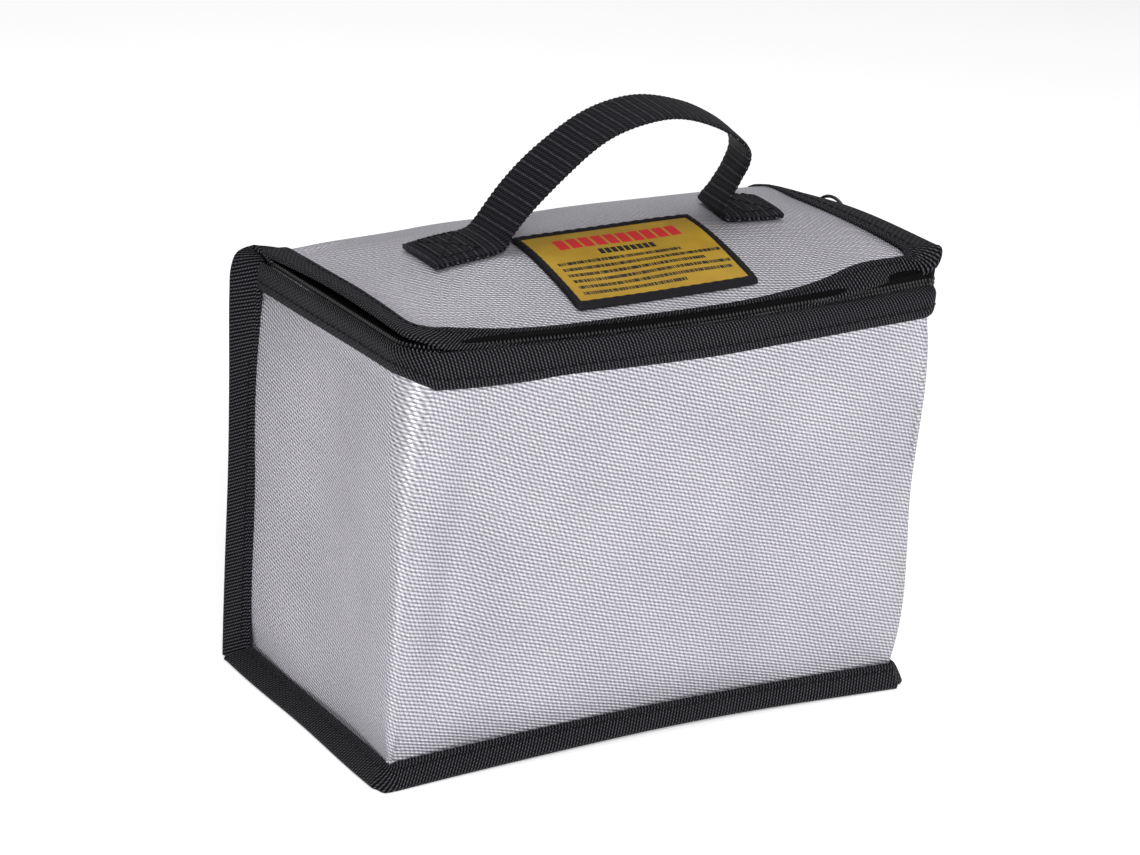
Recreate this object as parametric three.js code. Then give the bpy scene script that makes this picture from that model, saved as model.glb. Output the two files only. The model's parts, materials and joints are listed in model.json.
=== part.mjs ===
// A soft, zipped, fire-resistant battery bag with a webbing carry handle.
// Millimetres, +Z up. The origin is the middle of the underside, the long side runs along X,
// the front faces -Y, and the lid hinges on the fold along the top of the back.
import * as THREE from 'three';

// ---- driving dimensions of the cloth box -------------------------------------------------------
const WIDTH = 215;
const DEPTH = 115;
const RIM_Z = 155; // height of the bag's mouth
const SEAM_Z = 10; // height of the seam that joins the walls to the bottom
const CLOTH = 0.9; // outer glass cloth
const LINING = 0.5; // inner glass cloth
const LAYER_GAP = 0.4; // air between cloth and lining, and between any two touching layers
const TAPE = 1.0; // ribbed tape, folded or flat
const FRONT_RADIUS_TOP = 13;
const FRONT_RADIUS_BOTTOM = 7;
const BACK_RADIUS = 5.5;
const FRONT_BOW_TOP = 3; // the front wall bellies out at the mouth
const FRONT_BOW_BOTTOM = -4.5; // and is pulled in at the bottom seam
const RIM_SAG = 1.5; // the middle of the front rim hangs this much lower
const THREAD = 0.5;

// ---- bindings: folded tape that stands off the seams as a fin ------------------------------------
const FIN_REACH = 4.3; // how far a fin's edge stands outside the cloth box along X and along Y
const FIN_LEG = 6; // how much of a wall a corner fin's tape covers
const RIM_TAPE_LOW = 141.5;
const RIM_TAPE_HIGH = 154.6;
const RIM_THREAD_Z = 146;

// ---- lid ---------------------------------------------------------------------------------------
const LID_HALF_WIDTH = 97.5; // to the inner edge of the lid's binding
const LID_FRONT_Y = -47.5;
const LID_BACK_Y = 56.8;
const LID_CORNER = 8;
const LID_BINDING_BACK_Y = 51;

// Crown of the stuffed lid: heights on a coarse grid, front row first, left column first.
const CROWN_X = [-97, -60, 0, 60, 97];
const CROWN_Y = [-47, -30, -5, 20, 42, 52, 57.5];
const CROWN_Z = [
  [157.5, 157.8, 158.6, 161.5, 166.0],
  [158.4, 161.8, 163.8, 165.8, 167.0],
  [159.2, 166.0, 169.2, 169.8, 167.6],
  [158.8, 166.2, 169.8, 170.6, 167.8],
  [158.4, 163.4, 165.8, 166.8, 166.3],
  [157.8, 160.2, 161.4, 162.2, 162.0],
  [155.4, 155.4, 155.4, 155.4, 155.4],
];

// ---- handle ------------------------------------------------------------------------------------
const WEBBING_WIDTH = 25;
const WEBBING = 1.8;
const HANDLE_Y = 5;
const TAB_LIFT = 0.5; // gap between the lid's cloth and a sewn-down end

// ---- label -------------------------------------------------------------------------------------
const LABEL_WIDTH = 74;
const LABEL_DEPTH = 48;
const LABEL_X = 1;
const LABEL_Y = -21.5;
const LABEL_BORDER = 3.2;

// ---- zip on the right-hand end -----------------------------------------------------------------
const COIL = 1.3; // section of one side's row of teeth
const COIL_GAP = 0.9; // the slider's neck runs between the two rows
const SLIDER_Y = 25.5;
const SLIDER_LENGTH = 9;
const PLATE = 1.0;
const RING_RADIUS = 9.9; // to the middle of the wire
const RING_WIRE = 1.3;
const RING_TILT = -8; // degrees: the ring lies against the end of the bag, front edge raised

// ---- looks ---------------------------------------------------------------------------------------
const finish = (color, roughness, metalness = 0) =>
  new THREE.MeshStandardMaterial({ color, roughness, metalness });
const silverCloth = finish(0xc0bec6, 0.5, 0.25);
const liningCloth = finish(0xe2dfd6, 0.8);
const blackTape = finish(0x2a282c, 0.85);
const blackWebbing = finish(0x222126, 0.8);
const blackThread = finish(0x38363b, 0.7);
const blackNylon = finish(0x1c1b1e, 0.45);
const yellowPatch = finish(0xcdaf3c, 0.7);
const blackEnamel = finish(0x18181a, 0.35, 0.4);

const bag = new THREE.Group();

// ---- closed bodies -------------------------------------------------------------------------------

/** Adds a mesh made of the given corners and faces, with its faces turned outwards. */
function addBody(name, material, corners, faces) {
  const at = (index) => corners[index];
  const volume = faces.reduce((sum, [a, b, c]) => {
    const cross = new THREE.Vector3().crossVectors(at(b), at(c));
    return sum + at(a).dot(cross);
  }, 0);
  const outward = volume > 0 ? faces : faces.map(([a, b, c]) => [a, c, b]);
  const geometry = new THREE.BufferGeometry().setFromPoints(corners);
  geometry.setIndex(outward.flat());
  geometry.computeVertexNormals();
  const mesh = new THREE.Mesh(geometry, material);
  mesh.name = name;
  bag.add(mesh);
  return mesh;
}

/** Splits a four-sided face into two triangles. */
const quad = (a, b, c, d) => [[a, b, c], [a, c, d]];

/** Joins a row of equal rings of corners into one body. A loop joins its last ring to its first. */
function addSweep(name, material, rings, { loop = false, caps = [[0, 1, 2, 3]] } = {}) {
  const count = rings[0].length;
  const faces = [];
  const joints = loop ? rings.length : rings.length - 1;
  for (let ring = 0; ring < joints; ring += 1) {
    const here = ring * count;
    const next = ((ring + 1) % rings.length) * count;
    for (let side = 0; side < count; side += 1) {
      const other = (side + 1) % count;
      faces.push(...quad(here + side, here + other, next + other, next + side));
    }
  }
  if (!loop) {
    const last = (rings.length - 1) * count;
    for (const [a, b, c, d] of caps) {
      faces.push(...quad(d, c, b, a));
      faces.push(...quad(last + a, last + b, last + c, last + d));
    }
  }
  return addBody(name, material, rings.flat(), faces);
}

/** The outward normal of a surface given as a function of two numbers. */
function normalOf(surface, u, v) {
  const step = 0.01;
  const along = new THREE.Vector3().subVectors(surface(u + step, v), surface(u - step, v));
  const across = new THREE.Vector3().subVectors(surface(u, v + step), surface(u, v - step));
  return along.cross(across).normalize();
}

/** The same surface moved inwards, against its normal. */
const inside = (surface, distance) => (u, v) =>
  surface(u, v).addScaledVector(normalOf(surface, u, v), -distance);

/** A sheet of cloth: a grid on its outer face, and the same grid one thickness further in. */
function addCloth(name, material, surface, columns, rows, thickness) {
  const width = rows.length;
  const outer = columns.flatMap((u) => rows.map((v) => surface(u, v)));
  const under = inside(surface, thickness);
  const inner = columns.flatMap((u) => rows.map((v) => under(u, v)));
  const shift = outer.length;
  const faces = [];
  const cell = (column, row) => column * width + row;
  for (let column = 0; column < columns.length - 1; column += 1) {
    for (let row = 0; row < width - 1; row += 1) {
      const left = [cell(column, row), cell(column, row + 1)];
      const right = [cell(column + 1, row), cell(column + 1, row + 1)];
      const corners = [left[0], right[0], right[1], left[1]];
      faces.push(...quad(...corners));
      faces.push(...quad(...corners.map((index) => index + shift).reverse()));
    }
  }
  const border = [];
  for (let column = 0; column < columns.length - 1; column += 1) border.push(cell(column, 0));
  for (let row = 0; row < width - 1; row += 1) border.push(cell(columns.length - 1, row));
  for (let column = columns.length - 1; column > 0; column -= 1) border.push(cell(column, width - 1));
  for (let row = width - 1; row > 0; row -= 1) border.push(cell(0, row));
  border.forEach((index, place) => {
    const next = border[(place + 1) % border.length];
    faces.push(...quad(next, index, index + shift, next + shift));
  });
  return addBody(name, material, outer.concat(inner), faces);
}

/** Evenly spaced numbers from low to high, both included. */
const spread = (low, high, steps) =>
  Array.from({ length: steps + 1 }, (_, step) => low + ((high - low) * step) / steps);

/** A smooth curve through values at given places. */
function smooth(places, values, x) {
  const last = places.length - 1;
  const place = THREE.MathUtils.clamp(x, places[0], places[last]);
  let cell = 0;
  while (cell < last - 1 && places[cell + 1] <= place) cell += 1;
  const slope = (index) => {
    const before = Math.max(index - 1, 0);
    const after = Math.min(index + 1, last);
    return (values[after] - values[before]) / (places[after] - places[before]);
  };
  const span = places[cell + 1] - places[cell];
  const t = (place - places[cell]) / span;
  return (
    (2 * t ** 3 - 3 * t ** 2 + 1) * values[cell] +
    (t ** 3 - 2 * t ** 2 + t) * span * slope(cell) +
    (3 * t ** 2 - 2 * t ** 3) * values[cell + 1] +
    (t ** 3 - t ** 2) * span * slope(cell + 1)
  );
}

// ---- the walls -----------------------------------------------------------------------------------
// A place round the bag is a number from 0 to 8: 0-1 left end, 1-2 front left corner, 2-3 front,
// 3-4 front right corner, 4-5 right end, 5-6 back right corner, 6-7 back, 7-8 back left corner.

/** A point on an arc round a corner, t running from 0 to 1 over a quarter turn from an angle. */
function onCorner(x, y, radius, startDegrees, t) {
  const angle = THREE.MathUtils.degToRad(startDegrees + 90 * t);
  return [x + radius * Math.cos(angle), y + radius * Math.sin(angle)];
}

/** The plan outline of a rounded box, front corners of one radius and back corners of another. */
function outline(place, halfWidth, halfDepth, frontRadius, backRadius, backY = halfDepth) {
  const around = ((place % 8) + 8) % 8;
  const part = Math.floor(around);
  const t = around - part;
  const frontX = halfWidth - frontRadius;
  const frontY = -halfDepth + frontRadius;
  const backX = halfWidth - backRadius;
  const endY = backY - backRadius;
  const mix = THREE.MathUtils.lerp;
  if (part === 0) return [-halfWidth, mix(endY, frontY, t)];
  if (part === 1) return onCorner(-frontX, frontY, frontRadius, 180, t);
  if (part === 2) return [mix(-frontX, frontX, t), -halfDepth];
  if (part === 3) return onCorner(frontX, frontY, frontRadius, 270, t);
  if (part === 4) return [halfWidth, mix(frontY, endY, t)];
  if (part === 5) return onCorner(backX, endY, backRadius, 0, t);
  if (part === 6) return [mix(backX, -backX, t), backY];
  return onCorner(-backX, endY, backRadius, 90, t);
}

/** A point on the outside of the walls, at a place round the bag and a height. */
function wall(place, z) {
  const rise = THREE.MathUtils.clamp(z / RIM_Z, 0, 1);
  const radius = THREE.MathUtils.lerp(FRONT_RADIUS_BOTTOM, FRONT_RADIUS_TOP, rise);
  const [x, y] = outline(place, WIDTH / 2, DEPTH / 2, radius, BACK_RADIUS);
  const frontness = THREE.MathUtils.smoothstep(-y, DEPTH / 2 - radius, DEPTH / 2);
  const middle = frontness * (1 - ((2 * x) / WIDTH) ** 2);
  const bow = THREE.MathUtils.lerp(FRONT_BOW_BOTTOM, FRONT_BOW_TOP, rise ** 0.6);
  return new THREE.Vector3(x, y - bow * middle, z - RIM_SAG * middle * rise ** 2);
}

/** A point off the walls: `out` is how far it stands outside the outer face. */
function offWall(place, out, z) {
  const step = 0.02;
  const before = wall(place - step, z);
  const after = wall(place + step, z);
  const away = new THREE.Vector3(after.y - before.y, before.x - after.x, 0).normalize();
  return wall(place, z).addScaledVector(away, out);
}

/** Places along the walls from one to another, closer together round the corners. */
function placesAlong(from, to) {
  const steps = [5, 4, 12, 4, 5, 3, 8, 3];
  const all = steps.flatMap((count, part) => spread(part, part + 1, count).slice(0, -1)).concat(8);
  return all.filter((place) => place > from && place < to && place - from > 0.04 && to - place > 0.04)
    .concat(to)
    .toSpliced(0, 0, from);
}

const WRAP_START = 0.03; // the wrap-round wall ends beside the back corner fins
const WRAP_END = 4.97;
const BACK_START = 6.015;
const BACK_END = 6.985;
const wrapPlaces = placesAlong(WRAP_START, WRAP_END);
const wallHeights = spread(SEAM_Z + 0.3, RIM_Z - LAYER_GAP, 7);
const liningHeights = spread(SEAM_Z + 0.8, RIM_Z - 2.2, 6);
const backPlaces = placesAlong(BACK_START, BACK_END);
const liningDepth = CLOTH + LAYER_GAP;

addCloth('wrap_panel', silverCloth, wall, wrapPlaces, wallHeights, CLOTH);
addCloth('wrap_lining', liningCloth, inside(wall, liningDepth), wrapPlaces, liningHeights, LINING);
addCloth('back_panel', silverCloth, wall, backPlaces, wallHeights, CLOTH);
addCloth('back_lining', liningCloth, inside(wall, liningDepth), backPlaces, liningHeights, LINING);

// ---- the bottom ----------------------------------------------------------------------------------
const BOTTOM_INSET = 2.4; // from the outside of the walls to the edge of the bottom
const BOTTOM_HALF_WIDTH = WIDTH / 2 - BOTTOM_INSET;
const BOTTOM_HALF_DEPTH = DEPTH / 2 - BOTTOM_INSET;
const BOTTOM_CORNER = 4;
const BOTTOM_EDGE_Z = 7.5; // the bottom's edge is held up by its seam
const BOTTOM_RISE = 14; // width of the sloping border round its flat middle
const BOTTOM_AIR = 2; // the lining lies loose over the bottom's creased corners

/** The outer face of the bottom: flat on the ground in the middle, raised at the edge. */
function bottom(across, along) {
  const x = -across * BOTTOM_HALF_WIDTH;
  const pastCorner = Math.max(Math.abs(x) - BOTTOM_HALF_WIDTH + BOTTOM_CORNER, 0);
  const cut = BOTTOM_CORNER - Math.sqrt(BOTTOM_CORNER ** 2 - pastCorner ** 2);
  const front = wall(2.5 + x / (WIDTH - 2 * FRONT_RADIUS_BOTTOM), SEAM_Z).y + BOTTOM_INSET + cut;
  const y = THREE.MathUtils.lerp(front, BOTTOM_HALF_DEPTH - cut, (along + 1) / 2);
  const fromEnd = (1 - Math.abs(across)) * BOTTOM_HALF_WIDTH;
  const fromSide = (1 - Math.abs(along)) * BOTTOM_HALF_DEPTH;
  const edge = Math.min(fromEnd, fromSide);
  const lift = 1 - THREE.MathUtils.smoothstep(edge, 0, BOTTOM_RISE);
  return new THREE.Vector3(x, y, BOTTOM_EDGE_Z * lift);
}
const bottomColumns = [-1, -0.99, -0.96, -0.92, -0.86, -0.4, 0, 0.4, 0.86, 0.92, 0.96, 0.99, 1];
const bottomRows = [-1, -0.93, -0.85, -0.75, -0.3, 0, 0.3, 0.75, 0.85, 0.93, 1];

/** The end faces of a flat section whose two sides each have this many points. */
const layerCaps = (width) => spread(0, width - 2, width - 2).map((row) =>
  [row, row + 1, 2 * width - 2 - row, 2 * width - 1 - row]);

/** A layer of the bottom, lifted straight up so that its middle stays flat. */
function addBottomLayer(name, material, low, thickness) {
  const surface = (u, v) => bottom(u, v).add(new THREE.Vector3(0, 0, low));
  const upper = (u, v) => surface(u, v).add(new THREE.Vector3(0, 0, thickness));
  const width = bottomRows.length;
  const lowerPoints = bottomColumns.flatMap((u) => bottomRows.map((v) => surface(u, v)));
  const upperPoints = bottomColumns.flatMap((u) => bottomRows.map((v) => upper(u, v)));
  const rings = bottomColumns.map((_, column) => {
    const first = column * width;
    const under = lowerPoints.slice(first, first + width);
    const over = upperPoints.slice(first, first + width).reverse();
    return under.concat(over);
  });
  addSweep(name, material, rings, { caps: layerCaps(width) });
}
addBottomLayer('bottom_panel', silverCloth, 0, CLOTH);
addBottomLayer('bottom_lining', liningCloth, CLOTH + BOTTOM_AIR, LINING);

// ---- bindings of the bag -------------------------------------------------------------------------
const bottomFinPlaces = placesAlong(0, 8).slice(0, -1);
const FIN_THICK = 2;
const finFoot = (place, out) => offWall(place, out, 0);

/** One section of the bottom fin: from the seam down and out to the ground. */
const bottomFinRing = (place) => [
  offWall(place, LAYER_GAP, SEAM_Z + 0.4),
  finFoot(place, FIN_REACH + 0.3),
  finFoot(place, FIN_REACH + 0.3 - FIN_THICK),
  offWall(place, LAYER_GAP - FIN_THICK + 0.3, SEAM_Z - 1.6),
];
addSweep('bottom_binding', blackTape, bottomFinPlaces.map(bottomFinRing), { loop: true });

/** The seam thread that runs round the bottom fin, just below its top edge. */
const bottomThreadRing = (place) => {
  const outer = offWall(place, LAYER_GAP, SEAM_Z + 0.4);
  const foot = finFoot(place, FIN_REACH + 0.3);
  const run = new THREE.Vector3().subVectors(foot, outer).normalize();
  const away = new THREE.Vector3().subVectors(foot, wall(place, 0)).setZ(0).normalize();
  const top = outer.clone().addScaledVector(run, 2.2).addScaledVector(away, 0.5);
  const low = top.clone().addScaledVector(run, THREAD);
  const shift = away.clone().multiplyScalar(THREAD);
  return [top, top.clone().add(shift), low.clone().add(shift), low];
};
addSweep('bottom_thread', blackThread, bottomFinPlaces.map(bottomThreadRing), { loop: true });

/** A back corner fin: tape folded over the raw edges of the wall and of the back, side -1 or 1. */
function addCornerFin(name, side) {
  const sideX = WIDTH / 2;
  const backY = DEPTH / 2;
  const section = [
    [sideX + LAYER_GAP, backY - FIN_LEG],
    [sideX + FIN_REACH + 1, backY + FIN_REACH],
    [sideX + FIN_REACH, backY + FIN_REACH + 1],
    [sideX - FIN_LEG, backY + LAYER_GAP],
    [sideX - FIN_LEG + 0.8, backY - TAPE + 0.2],
    [sideX + 1.6, backY + 1.6],
    [sideX - TAPE + 0.2, backY - FIN_LEG + 0.8],
  ];
  const rings = spread(SEAM_Z + 2, RIM_Z - 1.5, 6).map((z) =>
    section.map(([x, y]) => new THREE.Vector3(side * x, y, z)));
  const caps = [[0, 1, 5, 6], [1, 2, 5, 5], [2, 3, 4, 5]];
  addSweep(name, blackTape, rings, { caps });
  const thread = [
    [sideX + 1.2, backY - FIN_LEG + 1],
    [sideX + 1.7, backY - FIN_LEG + 1],
    [sideX + 1.9, backY - FIN_LEG + 1.6],
    [sideX + 1.4, backY - FIN_LEG + 1.6],
  ];
  const threadRings = spread(SEAM_Z + 3, RIM_Z - 3, 4).map((z) =>
    thread.map(([x, y]) => new THREE.Vector3(side * x, y, z)));
  addSweep(name.replace('binding', 'thread'), blackThread, threadRings);
}
addCornerFin('back_left_binding', -1);
addCornerFin('back_right_binding', 1);

// ---- the zip's tapes and teeth -------------------------------------------------------------------
const ZIP_START = 0.025;
const ZIP_END = 4.975;
const zipPlaces = placesAlong(ZIP_START, ZIP_END);

/** A flat band on the outside of the walls. */
const bandRing = (out, thickness, low, high) => (place) => [
  offWall(place, out, low),
  offWall(place, out + thickness, low),
  offWall(place, out + thickness, high),
  offWall(place, out, high),
];
addSweep('zipper_tape_lower', blackTape,
  zipPlaces.map(bandRing(LAYER_GAP, TAPE, RIM_TAPE_LOW, RIM_TAPE_HIGH)));
const rimThreadOut = LAYER_GAP + TAPE + 0.3;
addSweep('rim_thread', blackThread,
  zipPlaces.map(bandRing(rimThreadOut, THREAD, RIM_THREAD_Z, RIM_THREAD_Z + THREAD)));

// The teeth sit just inside the rim on the left and the front, and on top of it on the right.
const ZIP_PLACE = [0, 2, 2.4, 2.75, 3, 3.3, 4, 5];
const TEETH_OUT = [-2.6, -2.6, -2.6, -2.6, -2.5, -1.4, -0.65, -0.65];
const TEETH_LOW = [153.3, 153.3, 153.3, 154.5, 155.4, 155.4, 155.4, 155.4];
const UPPER_TAPE_NEAR_OUT = [-3.9, -3.9, -3.9, -3.9, -3.4, -1.4, -0.3, -0.3];
const UPPER_TAPE_NEAR_Z = [156.0, 156.0, 156.0, 157.4, 159.2, 159.8, 159.8, 159.8];
const UPPER_TAPE_FAR_OUT = [-8.6, -8.6, -8.6, -8.6, -7.4, -5.0, -3.6, -3.6];
const UPPER_TAPE_FAR_Z = [156.1, 156.4, 156.4, 157.9, 161.4, 163.6, 164.4, 160.6];
const UPPER_TAPE_THICK = 0.7;
const onZip = (values, place) => smooth(ZIP_PLACE, values, place);

/** A point off the walls at the mouth, which hangs a little lower in the middle of the front. */
function atMouth(place, out, z) {
  const point = offWall(place, out, RIM_Z);
  return point.setZ(z + point.z - RIM_Z);
}

/** One row of teeth, as a rail round the mouth. */
const teethRing = (lift) => (place) => {
  const low = onZip(TEETH_LOW, place) + lift;
  const out = onZip(TEETH_OUT, place);
  const high = low + COIL;
  return [atMouth(place, out, low), atMouth(place, out + COIL, low),
    atMouth(place, out + COIL, high), atMouth(place, out, high)];
};
addSweep('zipper_teeth_lower', blackNylon, zipPlaces.map(teethRing(0)));
addSweep('zipper_teeth_upper', blackNylon, zipPlaces.map(teethRing(COIL + COIL_GAP)));

/** A strip between two lines, given a thickness square to itself. */
function stripRing(near, far, along, thickness) {
  const square = new THREE.Vector3().subVectors(far, near).cross(along).normalize();
  const half = square.multiplyScalar(thickness / 2);
  return [near.clone().add(half), far.clone().add(half), far.clone().sub(half), near.clone().sub(half)];
}

/** The direction along the mouth at a place. */
const mouthDirection = (place) =>
  new THREE.Vector3().subVectors(wall(place + 0.02, RIM_Z), wall(place - 0.02, RIM_Z));

const upperTapeRing = (place) => {
  const near = atMouth(place, onZip(UPPER_TAPE_NEAR_OUT, place), onZip(UPPER_TAPE_NEAR_Z, place));
  const far = atMouth(place, onZip(UPPER_TAPE_FAR_OUT, place), onZip(UPPER_TAPE_FAR_Z, place));
  return stripRing(near, far, mouthDirection(place), UPPER_TAPE_THICK);
};
addSweep('zipper_tape_upper', blackTape, zipPlaces.map(upperTapeRing));

// ---- the lid ---------------------------------------------------------------------------------------
/** Height of the lid's outer face. */
const crown = (x, y) => smooth(CROWN_Y, CROWN_Z.map((row) => smooth(CROWN_X, row, x)), y);

/** A point on the lid, both numbers running from 0 to 1: left to right, and front to back. */
function lid(across, back) {
  const y = THREE.MathUtils.lerp(LID_FRONT_Y, LID_BACK_Y, back);
  const fromFront = THREE.MathUtils.clamp(y - LID_FRONT_Y, 0, LID_CORNER);
  const cut = LID_CORNER - Math.sqrt(LID_CORNER ** 2 - (LID_CORNER - fromFront) ** 2);
  const x = THREE.MathUtils.lerp(-1, 1, across) * (LID_HALF_WIDTH - cut);
  return new THREE.Vector3(x, y, crown(x, y));
}

/** A layer of the lid, some way below its outer face, reaching `back` of the way to the fold. */
function addLidLayer(name, material, depth, thickness, back) {
  const columns = spread(0, 1, 14);
  const rows = [0, 0.01, 0.03, 0.06, 0.15, 0.27, 0.4, 0.53, 0.66, 0.78, 0.86, 0.92, 0.96, 0.985, 1];
  const point = (u, v, drop) => lid(u, v * back).sub(new THREE.Vector3(0, 0, drop));
  const rings = rows.map((v) => {
    const over = columns.map((u) => point(u, v, depth));
    const under = columns.map((u) => point(u, v, depth + thickness)).reverse();
    return over.concat(under);
  });
  const width = columns.length;
  addSweep(name, material, rings, { caps: layerCaps(width) });
}
addLidLayer('lid_panel', silverCloth, 0, CLOTH, 1);
addLidLayer('lid_lining', liningCloth, CLOTH + LAYER_GAP, LINING, 0.98);

// The lid's binding is a fin from the lid's edge to a free edge that droops on the left and in
// front, and stands up and outwards on the right.
const FIN_PLACE = [0, 0.5, 1, 1.5, 2, 2.5, 2.8, 3, 3.5, 4, 4.5, 5];
const FIN_TIP_X = [107.5, 107.5, 107.5, 107.5, 107.5, 107.5, 108, 108.5, 109.8, 110, 110, 108.5];
const FIN_TIP_Z = [158.4, 158.4, 157.8, 157.7, 157.6, 157.6, 159.4, 163.5, 167.4, 168.4, 168, 162.8];
const LID_BINDING_THICK = 1.7;
const LID_LAP = 0.6; // from the lid cloth's edge to its binding
const onFin = (values, place) => smooth(FIN_PLACE, values, place);

function lidFinRing(place) {
  const [innerX, innerY] = outline(place, LID_HALF_WIDTH + LID_LAP, -LID_FRONT_Y + LID_LAP, LID_CORNER,
    0.01, LID_BINDING_BACK_Y);
  const reach = onFin(FIN_TIP_X, place);
  const [tipX, tipY] = outline(place, reach, DEPTH / 2 - 0.4, FRONT_RADIUS_TOP, 0.01, LID_BINDING_BACK_Y);
  const near = new THREE.Vector3(innerX, innerY, crown(innerX, innerY) + 0.3);
  const far = new THREE.Vector3(tipX, tipY, onFin(FIN_TIP_Z, place));
  return stripRing(near, far, mouthDirection(place), LID_BINDING_THICK);
}
const lidFinPlaces = placesAlong(0, 4.999);
addSweep('lid_binding', blackTape, lidFinPlaces.map(lidFinRing));

/** The seam thread on top of the lid's binding. */
function lidThreadRing(place) {
  const [a, b, c, d] = lidFinRing(place);
  const top = new THREE.Vector3().subVectors(a, d).normalize();
  const upward = top.z > 0 ? 1 : -1;
  const near = upward > 0 ? a : d;
  const far = upward > 0 ? b : c;
  const run = new THREE.Vector3().subVectors(far, near).normalize();
  const lift = top.multiplyScalar(upward);
  const start = near.clone().addScaledVector(run, 2.4).addScaledVector(lift, 0.5);
  const end = start.clone().addScaledVector(run, THREAD);
  const raised = (point) => point.clone().addScaledVector(lift, THREAD);
  return [start, raised(start), raised(end), end];
}
addSweep('lid_thread', blackThread, lidFinPlaces.map(lidThreadRing));

// ---- the label ---------------------------------------------------------------------------------
/** A point above the lid's outer face. */
const overLid = (x, y, lift) => new THREE.Vector3(x, y, crown(x, y) + lift);

/** A flat sewn-on piece that follows the lid: a grid lifted off it. */
function addPatch(name, material, lowX, highX, lowY, highY, lift, thickness) {
  const columns = spread(lowX, highX, 10);
  const rings = spread(lowY, highY, 7).map((y) => {
    const under = columns.map((x) => overLid(x, y, lift));
    const over = columns.map((x) => overLid(x, y, lift + thickness)).reverse();
    return under.concat(over);
  });
  const width = columns.length;
  addSweep(name, material, rings, { caps: layerCaps(width) });
}
const LABEL_THICK = 0.7;
const LABEL_BORDER_THICK = 1.1;
const labelInnerX = LABEL_WIDTH / 2 - LABEL_BORDER;
const labelInnerY = LABEL_DEPTH / 2 - LABEL_BORDER;
addPatch('label_patch', yellowPatch, LABEL_X - labelInnerX, LABEL_X + labelInnerX,
  LABEL_Y - labelInnerY, LABEL_Y + labelInnerY, TAB_LIFT, LABEL_THICK);

/** The overlocked border round the label, as a loop of cord-like sections. */
function addLabelBorder() {
  const inner = LABEL_BORDER - 0.4;
  const corners = [[-1, -1], [1, -1], [1, 1], [-1, 1]];
  const rings = corners.flatMap(([cornerX, cornerY], index) => {
    const [nextX, nextY] = corners[(index + 1) % 4];
    return spread(0, 1, index % 2 ? 7 : 10).slice(0, -1).map((t) => {
      const x = THREE.MathUtils.lerp(cornerX, nextX, t);
      const y = THREE.MathUtils.lerp(cornerY, nextY, t);
      const at = (shrink, lift) => overLid(
        LABEL_X + x * (LABEL_WIDTH / 2 - shrink), LABEL_Y + y * (LABEL_DEPTH / 2 - shrink), lift);
      const top = TAB_LIFT + LABEL_BORDER_THICK;
      return [at(0, TAB_LIFT), at(inner, TAB_LIFT), at(inner, top), at(0, top)];
    });
  });
  addSweep('label_border', blackTape, rings, { loop: true });
}
addLabelBorder();

// ---- the handle --------------------------------------------------------------------------------
// The strap's middle line in the plane of the handle: it rises from the left, crosses over in one
// arch, has a sharp shoulder on the right and folds back under it. Its first 14 mm at each end are
// part of the sewn-down ends, and the arch between them leans over as one piece.
const ARCH = [
  [-32.6, 184.2], [-28, 188.4], [-19.5, 196], [-4, 206.4], [16, 211.8], [42, 208], [56.5, 200.4],
  [60.4, 195], [60.0, 190], [57.8, 185],
];
const LEFT_END = [
  [-69.5, null], [-60, null], [-48, null], [-43.4, 171], [-39, 176.6], [-34.6, 182],
];
const RIGHT_END = [
  [74, null], [65, null], [55.5, null], [50.2, 173.2], [52.2, 177], [55, 182.2],
];
const TAB_FLAT_LIFT = TAB_LIFT + WEBBING / 2;

/** A length of webbing along a line of [x, z] places, its width along Y. */
function addWebbing(name, line) {
  const middle = line.map(([x, z]) => new THREE.Vector3(x, 0, z ?? crown(x, HANDLE_Y) + TAB_FLAT_LIFT));
  const onLid = line.map(([, z]) => z === null);
  const rings = middle.map((point, index) => {
    const before = middle[Math.max(index - 1, 0)];
    const after = middle[Math.min(index + 1, middle.length - 1)];
    const along = new THREE.Vector3().subVectors(after, before).normalize();
    const square = new THREE.Vector3(-along.z, 0, along.x).multiplyScalar(WEBBING / 2);
    const corner = (side, face) => {
      const y = HANDLE_Y + (side * WEBBING_WIDTH) / 2;
      const lift = onLid[index] ? crown(point.x, y) - crown(point.x, HANDLE_Y) : 0;
      return new THREE.Vector3(point.x + face * square.x, y, point.z + face * square.z + lift);
    };
    const edges = spread(-1, 1, 4);
    return edges.map((side) => corner(side, 1)).concat(edges.reverse().map((side) => corner(side, -1)));
  });
  addSweep(name, blackWebbing, rings, { caps: layerCaps(5) });
}
addWebbing('handle_strap', ARCH);
addWebbing('handle_end_left', LEFT_END);
addWebbing('handle_end_right', RIGHT_END);

const STITCH_WIDTH = 0.8;
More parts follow.
